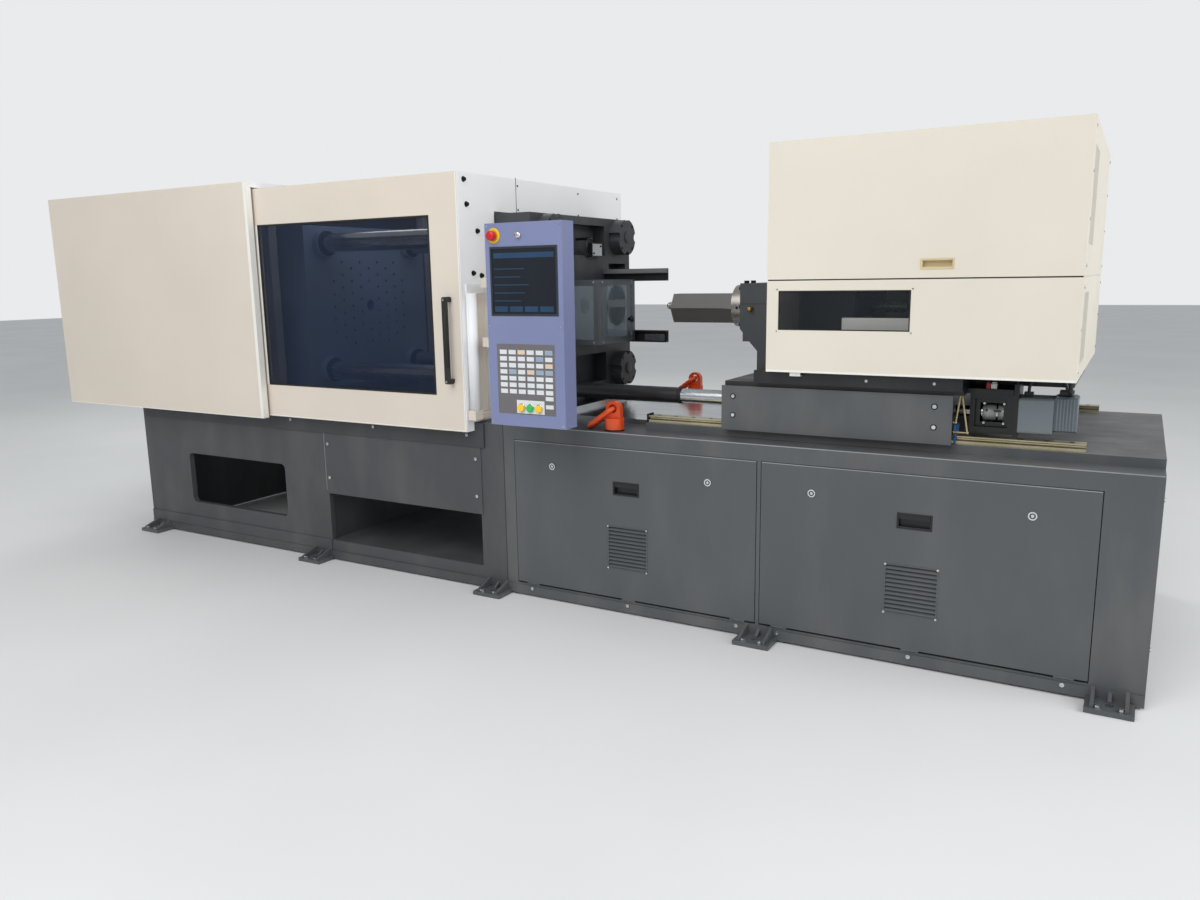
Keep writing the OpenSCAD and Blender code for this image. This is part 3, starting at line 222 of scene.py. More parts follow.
def mesh_weave(tree, place, colour):
    """Woven wire: a fine regular grid of dark openings."""
    wave = [put(tree, "ShaderNodeTexWave", {"Scale": 36.0, "wave_type": "BANDS", "bands_direction": way},
                {"Vector": place}) for way in ("X", "Z")]
    both = put(tree, "ShaderNodeMix", {"data_type": "RGBA", "blend_type": "LIGHTEN", "Factor": 1.0},
               {6: wave[0].outputs["Color"], 7: wave[1].outputs["Color"]})
    tone = ramp(tree, both.outputs[2], [(0.4, srgb("#050506")), (0.75, srgb(colour))])
    return put(tree, "ShaderNodeBsdfPrincipled", {"Roughness": 0.6}, {"Base Color": tone})


# Materials: name, colour, shade, roughness and the further looks that each kind of surface takes
PAINTED = {
    # Powder coat over welded and folded steel: satin, with a fine grain and a little dust
    "charcoal": ("charcoal powder coat on steel", "#55585b", "#4f5255", 0.44, 0.3, 300, 0.1),
    # Darker copy of the charcoal: painted shade on the clamp side's base, aprons and skirts under the overhang
    "charcoal_painted_shade": ("charcoal powder coat, matt, darkened as painted shade", "#4c4e51", "#46484b", 0.5, 0.3, 300, 0.08),
    # Darker still: painted shade on the ledge strip under the gate
    "band": ("charcoal powder coat on ledge strip", "#3e4044", "#393b3f", 0.46, 0.3, 300, 0.04),
    "door": ("charcoal powder coat on sheet steel", "#55585b", "#505356", 0.42, 0.3, 300, 0.05),
    "cream": ("cream powder coat on sheet steel", "#e6dbcd", "#dfd4c6", 0.36, 0.16, 340),
    # Same cream as the side covers, lighter and greener: painted light on the hood
    "hood_cream_painted_light": ("cream powder coat on the hood's sheet steel", "#e7e0d1", "#e0d9ca", 0.36, 0.16, 340),
    # Lighter than the cream: painted highlight on folded edges, trims and lips
    "cream_painted_highlight": ("cream powder coat on folded edge", "#f6f4ee", "#efece4", 0.34, 0.14, 340),
    "white": ("cool white powder coat on sheet steel", "#f7f8f9", "#f1f2f3", 0.36, 0.16, 340),
    "frame_grey": ("grey paint on welded frame", "#9da1a5", "#8f9498", 0.42, 0.2, 260),
    # Pale grey strips: painted highlight along the edges of the deck, doors and aprons
    "rim": ("painted highlight on the edge of the powder coat", "#9a9c9e", "#85878a", 0.4, 0.2, 300),
    # Rough sand-cast iron under thick enamel, and machined iron under a smoother one
    "casting": ("dark enamel on cast iron", "#3c4044", "#34373b", 0.5, 0.7, 90, 0.06),
    "feed": ("dark enamel on cast iron block", "#43464a", "#3a3d40", 0.42, 0.6, 110, 0.04),
    "platen": ("blue-grey enamel on machined iron", "#8296b4", "#7488a6", 0.36, 0.12, 160),
    # Satin black for brackets and the sled, stove enamel and anodised frames
    "black": ("satin black paint on steel", "#1d1f22", "#17181a", 0.38, 0.25, 240, 0.03),
    "encoder": ("blue-grey stove enamel on encoder housing", "#7e8991", "#737e86", 0.4, 0.3, 220),
    "guard_frame": ("grey anodised frame", "#62676c", "#585c61", 0.36, 0.12, 240, 0.0, 0.4),
    "coupling": ("light grey anodised coupling", "#b4b7b5", "#a2a5a3", 0.34, 0.1, 240, 0.0, 0.3),
    "black_screw": ("black oxide on steel screw", "#222325", "#191a1b", 0.34, 0.1, 300, 0.0, 0.6),
    # Brake-formed galvanised sheet, and thick gloss enamel over a forging
    "hex": ("galvanised sheet round the barrel", "#72706d", "#656360", 0.4, 0.3, 60, 0.0, 0.5),
    "orange": ("orange enamel on forged steel", "#e8541c", "#d94a14", 0.34, 0.5, 120, 0.0, 0.0, 0.3),
    "shell": ("periwinkle blue paint on cast aluminium housing", "#8189b0", "#7a82a9", 0.42, 0.2, 320),
}
BARE = {
    "steel": ("ground and plated steel bar", "#c3c5c7", "#aeb0b3", 0.2, (0.05, 1, 1), 260),
    "turned": ("turned steel", "#b4aea6", "#9f9a92", 0.3, (1, 0.2, 0.2), 240, 0.06),
    "sheet": ("bright stainless tray sheet", "#d6d8d9", "#bdc0c2", 0.16, (0.04, 1, 1), 120, 0.15),
    "rail": ("oiled hardened rail steel", "#cfc6aa", "#b3a98c", 0.28, (0.04, 1, 1), 220, 0.1),
    "link": ("machined link iron", "#83888c", "#6a6f73", 0.38, (1, 1, 0.08), 160),
    "zinc": ("zinc plated fastener", "#d4d6d6", "#b8bbbc", 0.24, (1, 1, 1), 300, 0.1),
    "chrome": ("chromium plate on brass", "#e3e4e6", "#cfd1d3", 0.08, (1, 1, 1), 60, 0.05),
    "brass": ("brass nipple", "#c9a45c", "#b08b45", 0.26, (1, 1, 1), 260, 0.1),
}
CLEAR = {
    "smoke": ("smoked blue acrylic sheet", "#0d2342", "#0a1c36", 0.46, 0.05),
    "clear": ("clear polycarbonate sheet", "#cfe0ea", "#c2d5e0", 0.12, 0.05),
    "hood_pane": ("grey tinted acrylic sheet", "#3f464c", "#363c42", 0.17, 0.05),
}
MOULDED = {
    "bezel": ("dark moulded ABS bezel", "#2b3038", "#252a31", 0.42),
    "screen": ("glass over a dark display", "#111a26", "#0c131d", 0.08, 0.0),
    "screen_bar": ("display glass, lighter field", "#22405e", "#1d3852", 0.1, 0.0, 420, 0.15),
    "key": ("moulded polycarbonate keycap", "#e8eaec", "#dcdfe2", 0.38),
    "key_blue": ("pale blue moulded keycap", "#9db2c8", "#92a8bf", 0.38),
    "key_peach": ("peach moulded keycap", "#ecd0b8", "#e2c5ac", 0.38),
    "keypad": ("warm grey keypad overlay", "#747173", "#6b686a", 0.55),
    "yellow": ("yellow lit polycarbonate cap", "#efc02e", "#e3b324", 0.22, 0.05, 420, 0.25),
    "green": ("green lit polycarbonate cap", "#35b25c", "#2ea553", 0.22, 0.05, 420, 0.25),
    "red": ("red moulded ABS cap", "#cf1f2a", "#c01822", 0.26, 0.08),
    "yellow_ring": ("yellow moulded ABS collar", "#f0c419", "#e5b912", 0.36, 0.08),
    "black_plastic": ("black glass-filled nylon", "#1b1c1e", "#151618", 0.4),
    "rubber": ("black moulded rubber", "#1c1c1d", "#151516", 0.62, 0.3, 200),
    "tan": ("tan moulded ABS cup", "#ddcca4", "#cfbd94", 0.42),
    "white_plug": ("white moulded nylon plug", "#e4e2dc", "#d9d7d0", 0.4),
    "red_plug": ("red moulded nylon plug", "#b8262c", "#a91f25", 0.4),
    "blue_plug": ("blue moulded nylon fitting", "#2f6da8", "#285f95", 0.34),
    "mica": ("heater band with mica lining", "#8d8474", "#7b7364", 0.5, 0.3, 150),
}
BLACK = (painted, ("#1d1f22", "#17181a", 0.38, 0.25, 240))
ZONED = {
    # Black channels, the top of the upper one lighter grey as painted highlight
    "channel": ("black channel with a painted highlight along its top", BLACK,
                ((0.055, -0.23, 1.4725), (0.43, 0.23, 1.5),
                 painted, ("#5f6365", "#55595b", 0.4, 0.3, 200))),
    # Black bracket, grey motor, darker encoder and the clear nylon tubes, each told apart by its place
    "motor": ("black bracket with a grey enamelled motor", BLACK,
              ((2.1582, -0.497, 0.87), (2.2721, -0.363, 1.0095),
               painted, ("#808a90", "#747e84", 0.38, 0.35, 200)),
              ((2.2721, -0.483, 0.885), (2.3465, -0.377, 1.0145),
               painted, ("#6f7980", "#646e75", 0.4, 0.35, 200)),
              ((1.94, -0.59, 0.86), (2.006, -0.548, 1.03),
               plastic, ("#b6a67e", "#a2936c", 0.26))),
}
WOVEN = {"vent": ("woven steel insect mesh", "#55585b")}
M = {key: material(name, kind, *looks)
     for kind, table in ((painted, PAINTED), (bare_metal, BARE), (pane, CLEAR), (plastic, MOULDED),
                         (zoned, ZONED), (mesh_weave, WOVEN))
     for key, (name, *looks) in table.items()}

NODE_FINISH = {
    "charcoal": "base_injection foot_brackets side_plates",
    # Painted shade: the clamp side's base and its aprons take the darker charcoal
    "charcoal_painted_shade": "base_clamp apron_panels",
    "door": "door_a door_b",
    "cream": "side_covers gate_front gate_rear panel_arm",
    # Painted light: the hood takes the lighter, greener cream
    "hood_cream_painted_light": "cover_lower cover_upper",
    "white": "roof_cover portal",
    "frame_grey": "cover_frame",
    "casting": "rear_platen stationary_platen tie_caps pressure_plate",
    "feed": "feed_casting",
    "platen": "moving_platen",
    "black": "clamp_drive drive_tube gate_handle carriage",
    "channel": "guard_rails",
    "motor": "sled_motor",
    "guard_frame": "purge_guard",
    "hex": "barrel_cover",
    "steel": "tie_bars drive_rod",
    "turned": "barrel screw",
    "sheet": "bed_tray",
    "rail": "carriage_rails",
    "link": "link_rear_up link_rear_low link_front_up link_front_low cross_link_up cross_link_low crosshead",
    "chrome": "lock_a1 lock_a2 lock_b1 lock_b2",
    "orange": "eye_front ring_front eye_rear ring_rear",
    "smoke": "gate_pane",
    "hood_pane": "cover_window",
    "shell": "panel_housing",
    "screen": "panel_display",
    "key": "panel_keys",
    "yellow": "button_a button_c",
    "green": "button_b",
    "red": "estop",
}


def dress_nodes():
    for finish, names in NODE_FINISH.items():
        for name in names.split():
            for holder in nodes[name].material_slots:
                holder.material = M[finish]


# Meshes
def link_object(name, mesh, body, finish):
    made = bpy.data.objects.new(name, mesh)
    bpy.context.scene.collection.objects.link(made)
    mesh.materials.clear()
    mesh.materials.append(M[finish])
    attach(made, body)
    return made


class Shape:
    """Corners and faces of one piece, gathered before its mesh is made."""

    def __init__(self):
        self.corners = []
        self.faces = []
        self.smooth = []

    def add(self, corners, faces, smooth=False):
        first = len(self.corners)
        self.corners += [Vector(c) for c in corners]
        self.faces += [[first + i for i in face] for face in faces]
        self.smooth += [smooth] * len(faces)

    def box(self, a, b):
        x0, y0, z0 = (min(p, q) for p, q in zip(a, b))
        x1, y1, z1 = (max(p, q) for p, q in zip(a, b))
        corners = [(x, y, z) for z in (z0, z1) for x, y in ((x0, y0), (x1, y0), (x1, y1), (x0, y1))]
        self.add(corners, [(3, 2, 1, 0), (4, 5, 6, 7), (0, 1, 5, 4), (1, 2, 6, 5), (2, 3, 7, 6), (3, 0, 4, 7)])

    def lathe(self, centre, axis, outline, sides, bore=0.0):
        """Turned form: outline lists (distance along the axis, radius); closed at both ends, or with a bore."""
        profile = [(outline[0][0], bore), *outline, (outline[-1][0], bore)] if bore else outline
        axis = Vector(axis).normalized()
        side = axis.orthogonal().normalized()
        other = axis.cross(side)
        centre = Vector(centre)
        corners, faces = [], []
        for along, radius in profile:
            for k in range(sides):
                a = 2 * math.pi * k / sides
                corners.append(centre + axis * along + (side * math.cos(a) + other * math.sin(a)) * radius)
        for ring in range(len(profile) if bore else len(profile) - 1):
            here, there = ring * sides, (ring + 1) % len(profile) * sides
            for k in range(sides):
                n = (k + 1) % sides
                faces.append((here + k, here + n, there + n, there + k))
        self.add(corners, faces, True)
        if not bore:
            base = len(self.corners) - len(corners)
            last = len(self.corners) - sides
            self.faces += [[base + k for k in reversed(range(sides))], [last + k for k in range(sides)]]
            self.smooth += [False, False]

    def frame(self, a, b, depth, width):
        """Four bars round the upright rectangle between corners a and b, depth thick towards the rear."""
        (x0, y, z0), (x1, _, z1) = a, b
        for ax, az, bx, bz in ((x0, z0, x0 + width, z1), (x1 - width, z0, x1, z1),
                               (x0 + width, z0, x1 - width, z0 + width),
                               (x0 + width, z1 - width, x1 - width, z1)):
            self.box((ax, y, az), (bx, y + depth, bz))

    def make(self, name, body, finish, bevel=0.0):
        mesh = bpy.data.meshes.new(name)
        mesh.from_pydata([tuple(c) for c in self.corners], [], self.faces)
        for face, soft in zip(mesh.polygons, self.smooth):
            face.use_smooth = soft
        mesh.validate()
        mesh.update()
        made = link_object(name, mesh, body, finish)
        if bevel:
            rounding = made.modifiers.new("Edge", "BEVEL")
            rounding.width = bevel
            rounding.segments = 2
            rounding.limit_method = "ANGLE"
            rounding.angle_limit = math.radians(40)


# Geometry Nodes: fasteners, sweeps and rows
def new_tree(name, sockets):
    tree = bpy.data.node_groups.new(name, "GeometryNodeTree")
    tree.interface.new_socket("Geometry", in_out="INPUT", socket_type="NodeSocketGeometry")
    ids = {}
    for label, kind in sockets.items():
        socket = tree.interface.new_socket(label, in_out="INPUT", socket_type="NodeSocket" + kind)
        ids[label] = socket.identifier
    tree.interface.new_socket("Geometry", in_out="OUTPUT", socket_type="NodeSocketGeometry")
    return tree, ids, put(tree, "NodeGroupInput").outputs


def close_tree(tree, geometry, finish):
    real = put(tree, "GeometryNodeRealizeInstances", links={0: geometry})
    shown = put(tree, "GeometryNodeSetMaterial", links={"Geometry": real.outputs[0], "Material": finish})
    put(tree, "NodeGroupOutput", links={0: shown.outputs[0]})


def fastener_tree():
    """A cap with a recess at every point, its axis along the point's aim."""
    tree, ids, given = new_tree("Fasteners", {
        "Head radius": "Float", "Head height": "Float", "Sides": "Int",
        "Recess share": "Float", "Recess depth": "Float", "Finish": "Material"})
    cap = put(tree, "GeometryNodeMeshCylinder", {"fill_type": "NGON"},
              {"Vertices": given["Sides"], "Radius": given["Head radius"], "Depth": given["Head height"]})
    half = put(tree, "ShaderNodeMath", {"operation": "MULTIPLY", 1: 0.5}, {0: given["Head height"]})
    lift = put(tree, "ShaderNodeCombineXYZ", links={"Z": half.outputs[0]})
    cap = put(tree, "GeometryNodeTransform",
              links={"Geometry": cap.outputs["Mesh"], "Translation": lift.outputs[0]})
    normal = put(tree, "GeometryNodeInputNormal")
    parts = put(tree, "ShaderNodeSeparateXYZ", links={0: normal.outputs[0]})
    top = put(tree, "FunctionNodeCompare", {"operation": "GREATER_THAN", 1: 0.9}, {0: parts.outputs["Z"]})
    inset = put(tree, "GeometryNodeExtrudeMesh", {"Offset Scale": 0.0},
                {"Mesh": cap.outputs[0], "Selection": top.outputs[0]})
    narrow = put(tree, "GeometryNodeScaleElements",
                 links={"Geometry": inset.outputs["Mesh"], "Selection": inset.outputs["Top"],
                        "Scale": given["Recess share"]})
    down = put(tree, "ShaderNodeMath", {"operation": "MULTIPLY", 1: -1.0}, {0: given["Recess depth"]})
    sink = put(tree, "GeometryNodeExtrudeMesh",
               links={"Mesh": narrow.outputs[0], "Selection": inset.outputs["Top"],
                      "Offset Scale": down.outputs[0]})
    aim = put(tree, "GeometryNodeInputNamedAttribute", {"data_type": "FLOAT_VECTOR", "Name": "aim"})
    turn = put(tree, "FunctionNodeAlignRotationToVector", {"axis": "Z"}, {"Vector": aim.outputs[0]})
    spread = put(tree, "GeometryNodeInstanceOnPoints",
                 links={"Points": given["Geometry"], "Instance": sink.outputs["Mesh"],
                        "Rotation": turn.outputs[0]})
    close_tree(tree, spread.outputs[0], given["Finish"])
    return tree, ids


def sweep_tree():
    """A round tube along every edge path."""
    tree, ids, given = new_tree("Tubes", {"Tube radius": "Float", "Sides": "Int", "Finish": "Material"})
    path = put(tree, "GeometryNodeMeshToCurve", links={"Mesh": given["Geometry"]})
    ring = put(tree, "GeometryNodeCurvePrimitiveCircle",
               links={"Resolution": given["Sides"], "Radius": given["Tube radius"]})
    tube = put(tree, "GeometryNodeCurveToMesh", {"Fill Caps": True},
               {"Curve": path.outputs[0], "Profile Curve": ring.outputs["Curve"]})
    close_tree(tree, tube.outputs[0], given["Finish"])
    return tree, ids


def row_tree():
    """One block at every point, all of one size: slats, ribs, fins and bars."""
    tree, ids, given = new_tree("Rows", {"Block size": "Vector", "Finish": "Material"})
    block = put(tree, "GeometryNodeMeshCube", links={"Size": given["Block size"]})
    spread = put(tree, "GeometryNodeInstanceOnPoints",
                 links={"Points": given["Geometry"], "Instance": block.outputs["Mesh"]})
    close_tree(tree, spread.outputs[0], given["Finish"])
    return tree, ids


FASTENERS, SWEEP, ROWS = fastener_tree(), sweep_tree(), row_tree()


def grow(name, tree_and_ids, mesh, inputs, body, finish, smooth=False):
    """Runs a tree on a mesh and keeps what it makes as a plain mesh on its body."""
    tree, ids = tree_and_ids
    seed = bpy.data.objects.new(name + "_seed", mesh)
    bpy.context.scene.collection.objects.link(seed)
    growth = seed.modifiers.new("Growth", "NODES")
    growth.node_group = tree
    for label, value in inputs.items():
        growth[ids[label]] = value
    growth[ids["Finish"]] = M[finish]
    depsgraph = bpy.context.evaluated_depsgraph_get()
    plain = bpy.data.meshes.new_from_object(seed.evaluated_get(depsgraph))
    bpy.data.objects.remove(seed)
    plain.name = name
    for face in plain.polygons:
        face.use_smooth = smooth
    link_object(name, plain, body, finish)


def points(places, aim=None):
    mesh = bpy.data.meshes.new("places")
    mesh.from_pydata([tuple(p) for p in places], [], [])
    if aim:
        held = mesh.attributes.new("aim", "FLOAT_VECTOR", "POINT")
        for i in range(len(places)):
            held.data[i].vector = aim
    return mesh


def screws(name, body, places, aim, radius, height=None, finish="zinc", sides=14, recess=0.5):
    height = height or radius * 0.7
    grow(name, FASTENERS, points(places, aim),
         {"Head radius": radius, "Head height": height, "Sides": sides, "Recess share": recess,
          "Recess depth": height * 0.6}, body, finish)


def rows(name, body, places, size, finish):
    grow(name, ROWS, points(places), {"Block size": size}, body, finish)


def smooth_path(knots, steps=8):
    """Points on a smooth curve through the knots."""
    knots = [Vector(k) for k in knots]
    ends = [knots[0] * 2 - knots[1]] + knots + [knots[-1] * 2 - knots[-2]]
    path = []
    for a, b, c, d in zip(ends, ends[1:], ends[2:], ends[3:]):
        for k in range(steps):
            t = k / steps
            path.append(0.5 * (b * 2 + (c - a) * t + (a * 2 - b * 5 + c * 4 - d) * t * t
                               + (b * 3 - a - c * 3 + d) * t * t * t))
    return path + [knots[-1]]


def tubes(name, body, routes, radius, finish, sides):
    corners, edges = [], []
    for knots in routes:
        path = smooth_path(knots)
        edges += [(len(corners) + i, len(corners) + i + 1) for i in range(len(path) - 1)]
        corners += [tuple(p) for p in path]
    mesh = bpy.data.meshes.new("routes")
    mesh.from_pydata(corners, edges, [])
    grow(name, SWEEP, mesh, {"Tube radius": radius, "Sides": sides}, body, finish, True)


def mirrored(places):
    return [(x, -y, z) for x, y, z in places]


def grid(*axes):
    """Places at every crossing of the X, Y and Z given, each as one number or as several."""
    return list(product(*(axis if isinstance(axis, tuple) else (axis,) for axis in axes)))


def blocks(name, body, finish, pairs, bevel=0.0):
    """One piece of plain blocks, each given by two opposite corners."""
    shape = Shape()
    for a, b in pairs:
        shape.box(a, b)
    shape.make(name, body, finish, bevel)


def both_sides(*pairs):
    """The blocks' mirror images at the front, then the blocks themselves at the rear."""
    return [[(x, s * y, z) for x, y, z in pair] for s in SIDES for pair in pairs]


def framed(name, body, finish, a, b, depth, width, bevel=0.0):
    """One piece that is an upright frame of four bars."""
    shape = Shape()
    shape.frame(a, b, depth, width)
    shape.make(name, body, finish, bevel)


def turned(name, body, finish, centres, axis, outline, sides, bore=0.0):
    """One piece of like turned forms, one at each centre."""
    shape = Shape()
    for centre in centres:
        shape.lathe(centre, axis, outline, sides, bore)
    shape.make(name, body, finish)


def screws_both_sides(name, body, places, *looks):
    """Screws on the front face, and their mirror images on the rear face."""
    screws(name, body, places, FRONT, *looks)
    screws(name.replace("_front", "") + "_rear", body, mirrored(places), REAR, *looks)


# Base: screws, strips, levelling nuts, the finish of the rear side and weld beads
def dress_base():
    apron = grid((-1.098, -0.1375), BASE_FRONT - 0.004, (0.448, 0.627))
    screws_both_sides("apron_screws_front", "frame", apron, 0.0085)
    # Strip along the clamp side's ledge and skirt below it, both darker as painted shade, and painted
    # highlights along the edges of the sheets
    blocks("ledge_strips", "frame", "band",
           both_sides(((-2.59, 0.6868, 0.684), (-0.085, 0.697, LEDGE - 0.0006))), 0.001)
    blocks("base_skirts", "frame", "charcoal_painted_shade",
           both_sides(((-2.6245, 0.6868, 0.0502), (-1.12, 0.694, 0.11))), 0.003)
    edges = both_sides(((-1.1275, 0.6868, 0.38), (-1.125, 0.6915, 0.683)),
                       ((0.0225, 0.6866, LEDGE - 0.0035), (2.625, 0.688, LEDGE + 0.0004)))
    edges += [((x0 + 0.001, DOOR_FACE - 0.0006, 0.7302), (x1 - 0.001, DOOR_FACE + 0.004, 0.7334))
              for x0, x1 in DOORS]
    blocks("sheet_edge_highlights", "frame", "rim", edges)
    screws_both_sides("ledge_screws", "frame", grid((-2.527, -1.94, -1.353, -0.766, -0.179), -0.697, 0.7395),
                      0.0075)
    screws("sill_screws", "frame", grid((0.165, 0.666, 1.171, 1.346, 1.856, 2.375), BASE_FRONT - 0.007, 0.041),
           FRONT, 0.008)
    # Levelling nuts on the foot plates
    nuts = [(x + dx, s * 0.778, 0.018) for x in FEET for s in SIDES for dx in (-0.036, 0.036)]
    screws("foot_nuts", "frame", nuts, UP, 0.011, 0.01, "zinc", 6, 0.6)
    # Rear side: two flush service panels with screws and vents, and a cable outlet
    panels, vents = ((0.1, 1.22), (1.29, 2.44)), (0.66, 1.865)
    blocks("service_panels", "frame", "door",
           [((x0, 0.687, 0.08), (x1, 0.69, 0.72)) for x0, x1 in panels], 0.0008)
    held = []
    for x0, x1 in panels:
        for k in range(5):
            held += [(x0 + 0.03 + (x1 - x0 - 0.06) * k / 4, 0.69, z) for z in (0.1, 0.7)]
        held += grid((x0 + 0.03, x1 - 0.03), 0.69, 0.4)
    screws("service_panel_screws", "frame", held, REAR, 0.008)
    rows("service_vent_slats", "frame", [(x, 0.6915, 0.2 + k * 0.018) for x in vents for k in range(10)],
         (0.2, 0.005, 0.007), "door")
    blocks("service_vent_mesh", "frame", "vent",
           [((x - 0.104, 0.69, 0.19), (x + 0.104, 0.6905, 0.374)) for x in vents])
    blocks("cable_outlet_box", "frame", "black", [((2.1, 0.69, 0.6), (2.34, 0.712, 0.69))], 0.002)
    screws("cable_glands", "frame", [(2.14 + 0.055 * k, 0.701, 0.6) for k in range(4)],
           DOWN, 0.014, 0.022, "black_plastic", 8, 0.7)
    # Seam strip between the two base halves and end plate at the injection end
    blocks("base_seam", "frame", "black",
           [((0.0185, BASE_FRONT - 0.0006, 0.055), (0.0215, BASE_FRONT + 0.001, LEDGE)),
            ((0.0185, 0.686, 0.055), (0.0215, 0.6876, LEDGE))])
    blocks("base_end_panel", "frame", "charcoal", [((2.625, -0.5, 0.12), (2.629, 0.5, 0.7))], 0.001)
    screws("base_end_screws", "frame", [(2.629, -0.48 + 0.24 * k, z) for k in range(5) for z in (0.14, 0.68)],
           RIGHT, 0.008)
    # Weld beads where the gussets meet the foot plates
    beads = [[(x + g, s * y, 0.0195) for y in (0.696, (0.696 + far) / 2, far)]
             for x in FEET for s in SIDES for g, far in ((-0.059, 0.785), (-0.007, 0.725), (0.045, 0.785))]
    tubes("foot_welds", "frame", beads, 0.003, "charcoal", 6)


# Louvred doors: pull cups, vent meshes, seals, stiffeners, and the cams and grooves of their locks
def dress_doors():
    face, depth = DOOR_FACE, DOOR_FACE + 0.018
    for key, (x0, x1), pull, vent in zip("ab", DOORS, PULLS, VENTS):
        body = "door_" + key
        left, right, low, high = pull - 0.057, pull + 0.057, 0.536, 0.584
        cup = Shape()
        cup.frame((left - 0.006, face - 0.0025, low - 0.006), (right + 0.006, face - 0.0025, high + 0.006),
                  0.0025, 0.007)
        cup.box((left, face + 0.017, low), (right, face + 0.019, high))
        cup.box((left, face, high - 0.002), (right, depth, high))
        cup.box((left, face, low), (right, depth, low + 0.002))
        cup.box((left, face, low), (left + 0.002, depth, high))
        cup.box((right - 0.002, face, low), (right, depth, high))
        # Dark strip across the top of the cup's mouth: painted shade under its upper edge
        cup.box((left + 0.002, face - 0.001, high - 0.018), (right - 0.002, face + 0.004, high - 0.002))
        cup.make("pull_cup_" + key, body, "black_plastic", 0.0008)
        blocks("vent_mesh_" + key, body, "vent",
               [((vent - 0.094, face + 0.0145, 0.201), (vent + 0.094, face + 0.0165, 0.389))])
        held = [(vent + dx, face - 0.002, z) for dx in (-0.094, 0.094) for z in (0.201, 0.389)]
        screws("vent_screws_" + key, body, held, FRONT, 0.0045)
        framed("door_seal_" + key, body, "rubber",
               (x0 + 0.006, face + 0.0205, 0.072), (x1 - 0.006, face + 0.0205, 0.727), 0.0035, 0.012)
        blocks("door_stiffeners_" + key, body, "door",
               [((x - 0.02, face + 0.003, 0.09), (x + 0.02, face + 0.02, 0.7))
                for x in (x0 + 0.3, x1 - 0.3)], 0.001)
    for name, x in (("a1", 0.287), ("a2", 1.038), ("b1", 1.47), ("b2", 2.245)):
        blocks("lock_cam_" + name, "lock_" + name, "zinc",
               [((x - 0.01, face + 0.0165, LOCK_Z - 0.01), (x + 0.01, face + 0.02, LOCK_Z + 0.045))],
               0.0006)
        turned("lock_groove_" + name, "lock_" + name, "black_plastic", [(x, face - 0.0049, LOCK_Z)], FRONT,
               [(0, 0.0102), (0.0004, 0.0102)], 28, 0.006)


# Clamp: bolts and plugs of the tie bars, fittings of the three platens
def dress_clamp():
    bars = [(y, AXIS + z) for y in (-TIE, TIE) for z in (-TIE, TIE)]
    caps = [(0.1135, y + 0.08 * math.cos(math.radians(a)), z + 0.08 * math.sin(math.radians(a)))
            for y, z in bars for a in (45, 135, 225, 315)]
    screws("tie_cap_bolts", "frame", caps, RIGHT, 0.0075, 0.0095, "black_screw", 16, 0.5)
    turned("tie_cap_plugs", "frame", "casting", [(0.122, y, z) for y, z in bars], RIGHT,
           [(0.0, 0.03), (0.004, 0.03), (0.006, 0.027), (0.006, 0.01)], 24)
    # Clamps with bolts at the fixed platen's foot
    blocks("platen_clamps", "frame", "casting",
           both_sides(((0.04, 0.325, LEDGE), (0.085, 0.435, LEDGE + 0.03))), 0.002)
    screws("platen_clamp_bolts", "frame", [(0.064, s * y, LEDGE + 0.03) for s in SIDES for y in (0.35, 0.41)],
           UP, 0.012, 0.012, "black_screw", 16)
    # Bright mounting plate of the limit switch on the guard's rail bracket
    blocks("switch_plate", "frame", "zinc", [((0.0896, 0.034, 1.564), (0.0912, 0.127, 1.622))], 0.0006)
    screws("switch_screws", "frame", [(0.0912, 0.046, 1.575), (0.0912, 0.115, 1.611)],
           RIGHT, 0.005, 0.003, "black_screw", 12)
    # Rear platen: bolts of the screw housing, fins of its motor, bright ends of the tie bars
    screws("drive_bolts", "frame", grid(-2.354, (-0.15, 0.15), (1.01, 1.21, 1.42)),
           LEFT, 0.011, 0.011, "black_screw", 16)
    screws("drive_motor_fins", "frame", [(-2.62 + 0.02 * k, 0.0, 1.106) for k in range(9)],
           RIGHT, 0.1085, 0.006, "motor", 48, 0.9)
    screws("rear_nut_flats", "frame", [(-2.309, y, z) for y, z in bars], LEFT, 0.046, 0.006, "steel", 40, 0.6)
    # Moving platen: slide shoes with bolts, and wipers round the tie bars
    blocks("platen_shoes", "platen", "steel",
           both_sides(((-1.61, 0.296, 0.8545), (-1.39, 0.404, 0.88))), 0.001)
    screws("platen_shoe_bolts", "platen", [(x, s * 0.404, 0.868) for s in SIDES for x in (-1.58, -1.5, -1.42)],
           FRONT, 0.008, 0.006, "black_screw")
    turned("tie_bar_wipers", "platen", "rubber", [(-1.3642, y, z) for y, z in bars], RIGHT,
           [(0, 0.066), (0.008, 0.066), (0.01, 0.064)], 40, 0.053)
    held = [(-1.364, y + 0.0695 * math.cos(a), z + 0.0695 * math.sin(a))
            for y, z in bars for a in (0.4, 1.97, 3.54, 5.11)]
    screws("wiper_screws", "platen", held, RIGHT, 0.0035, 0.003, "zinc", 10)
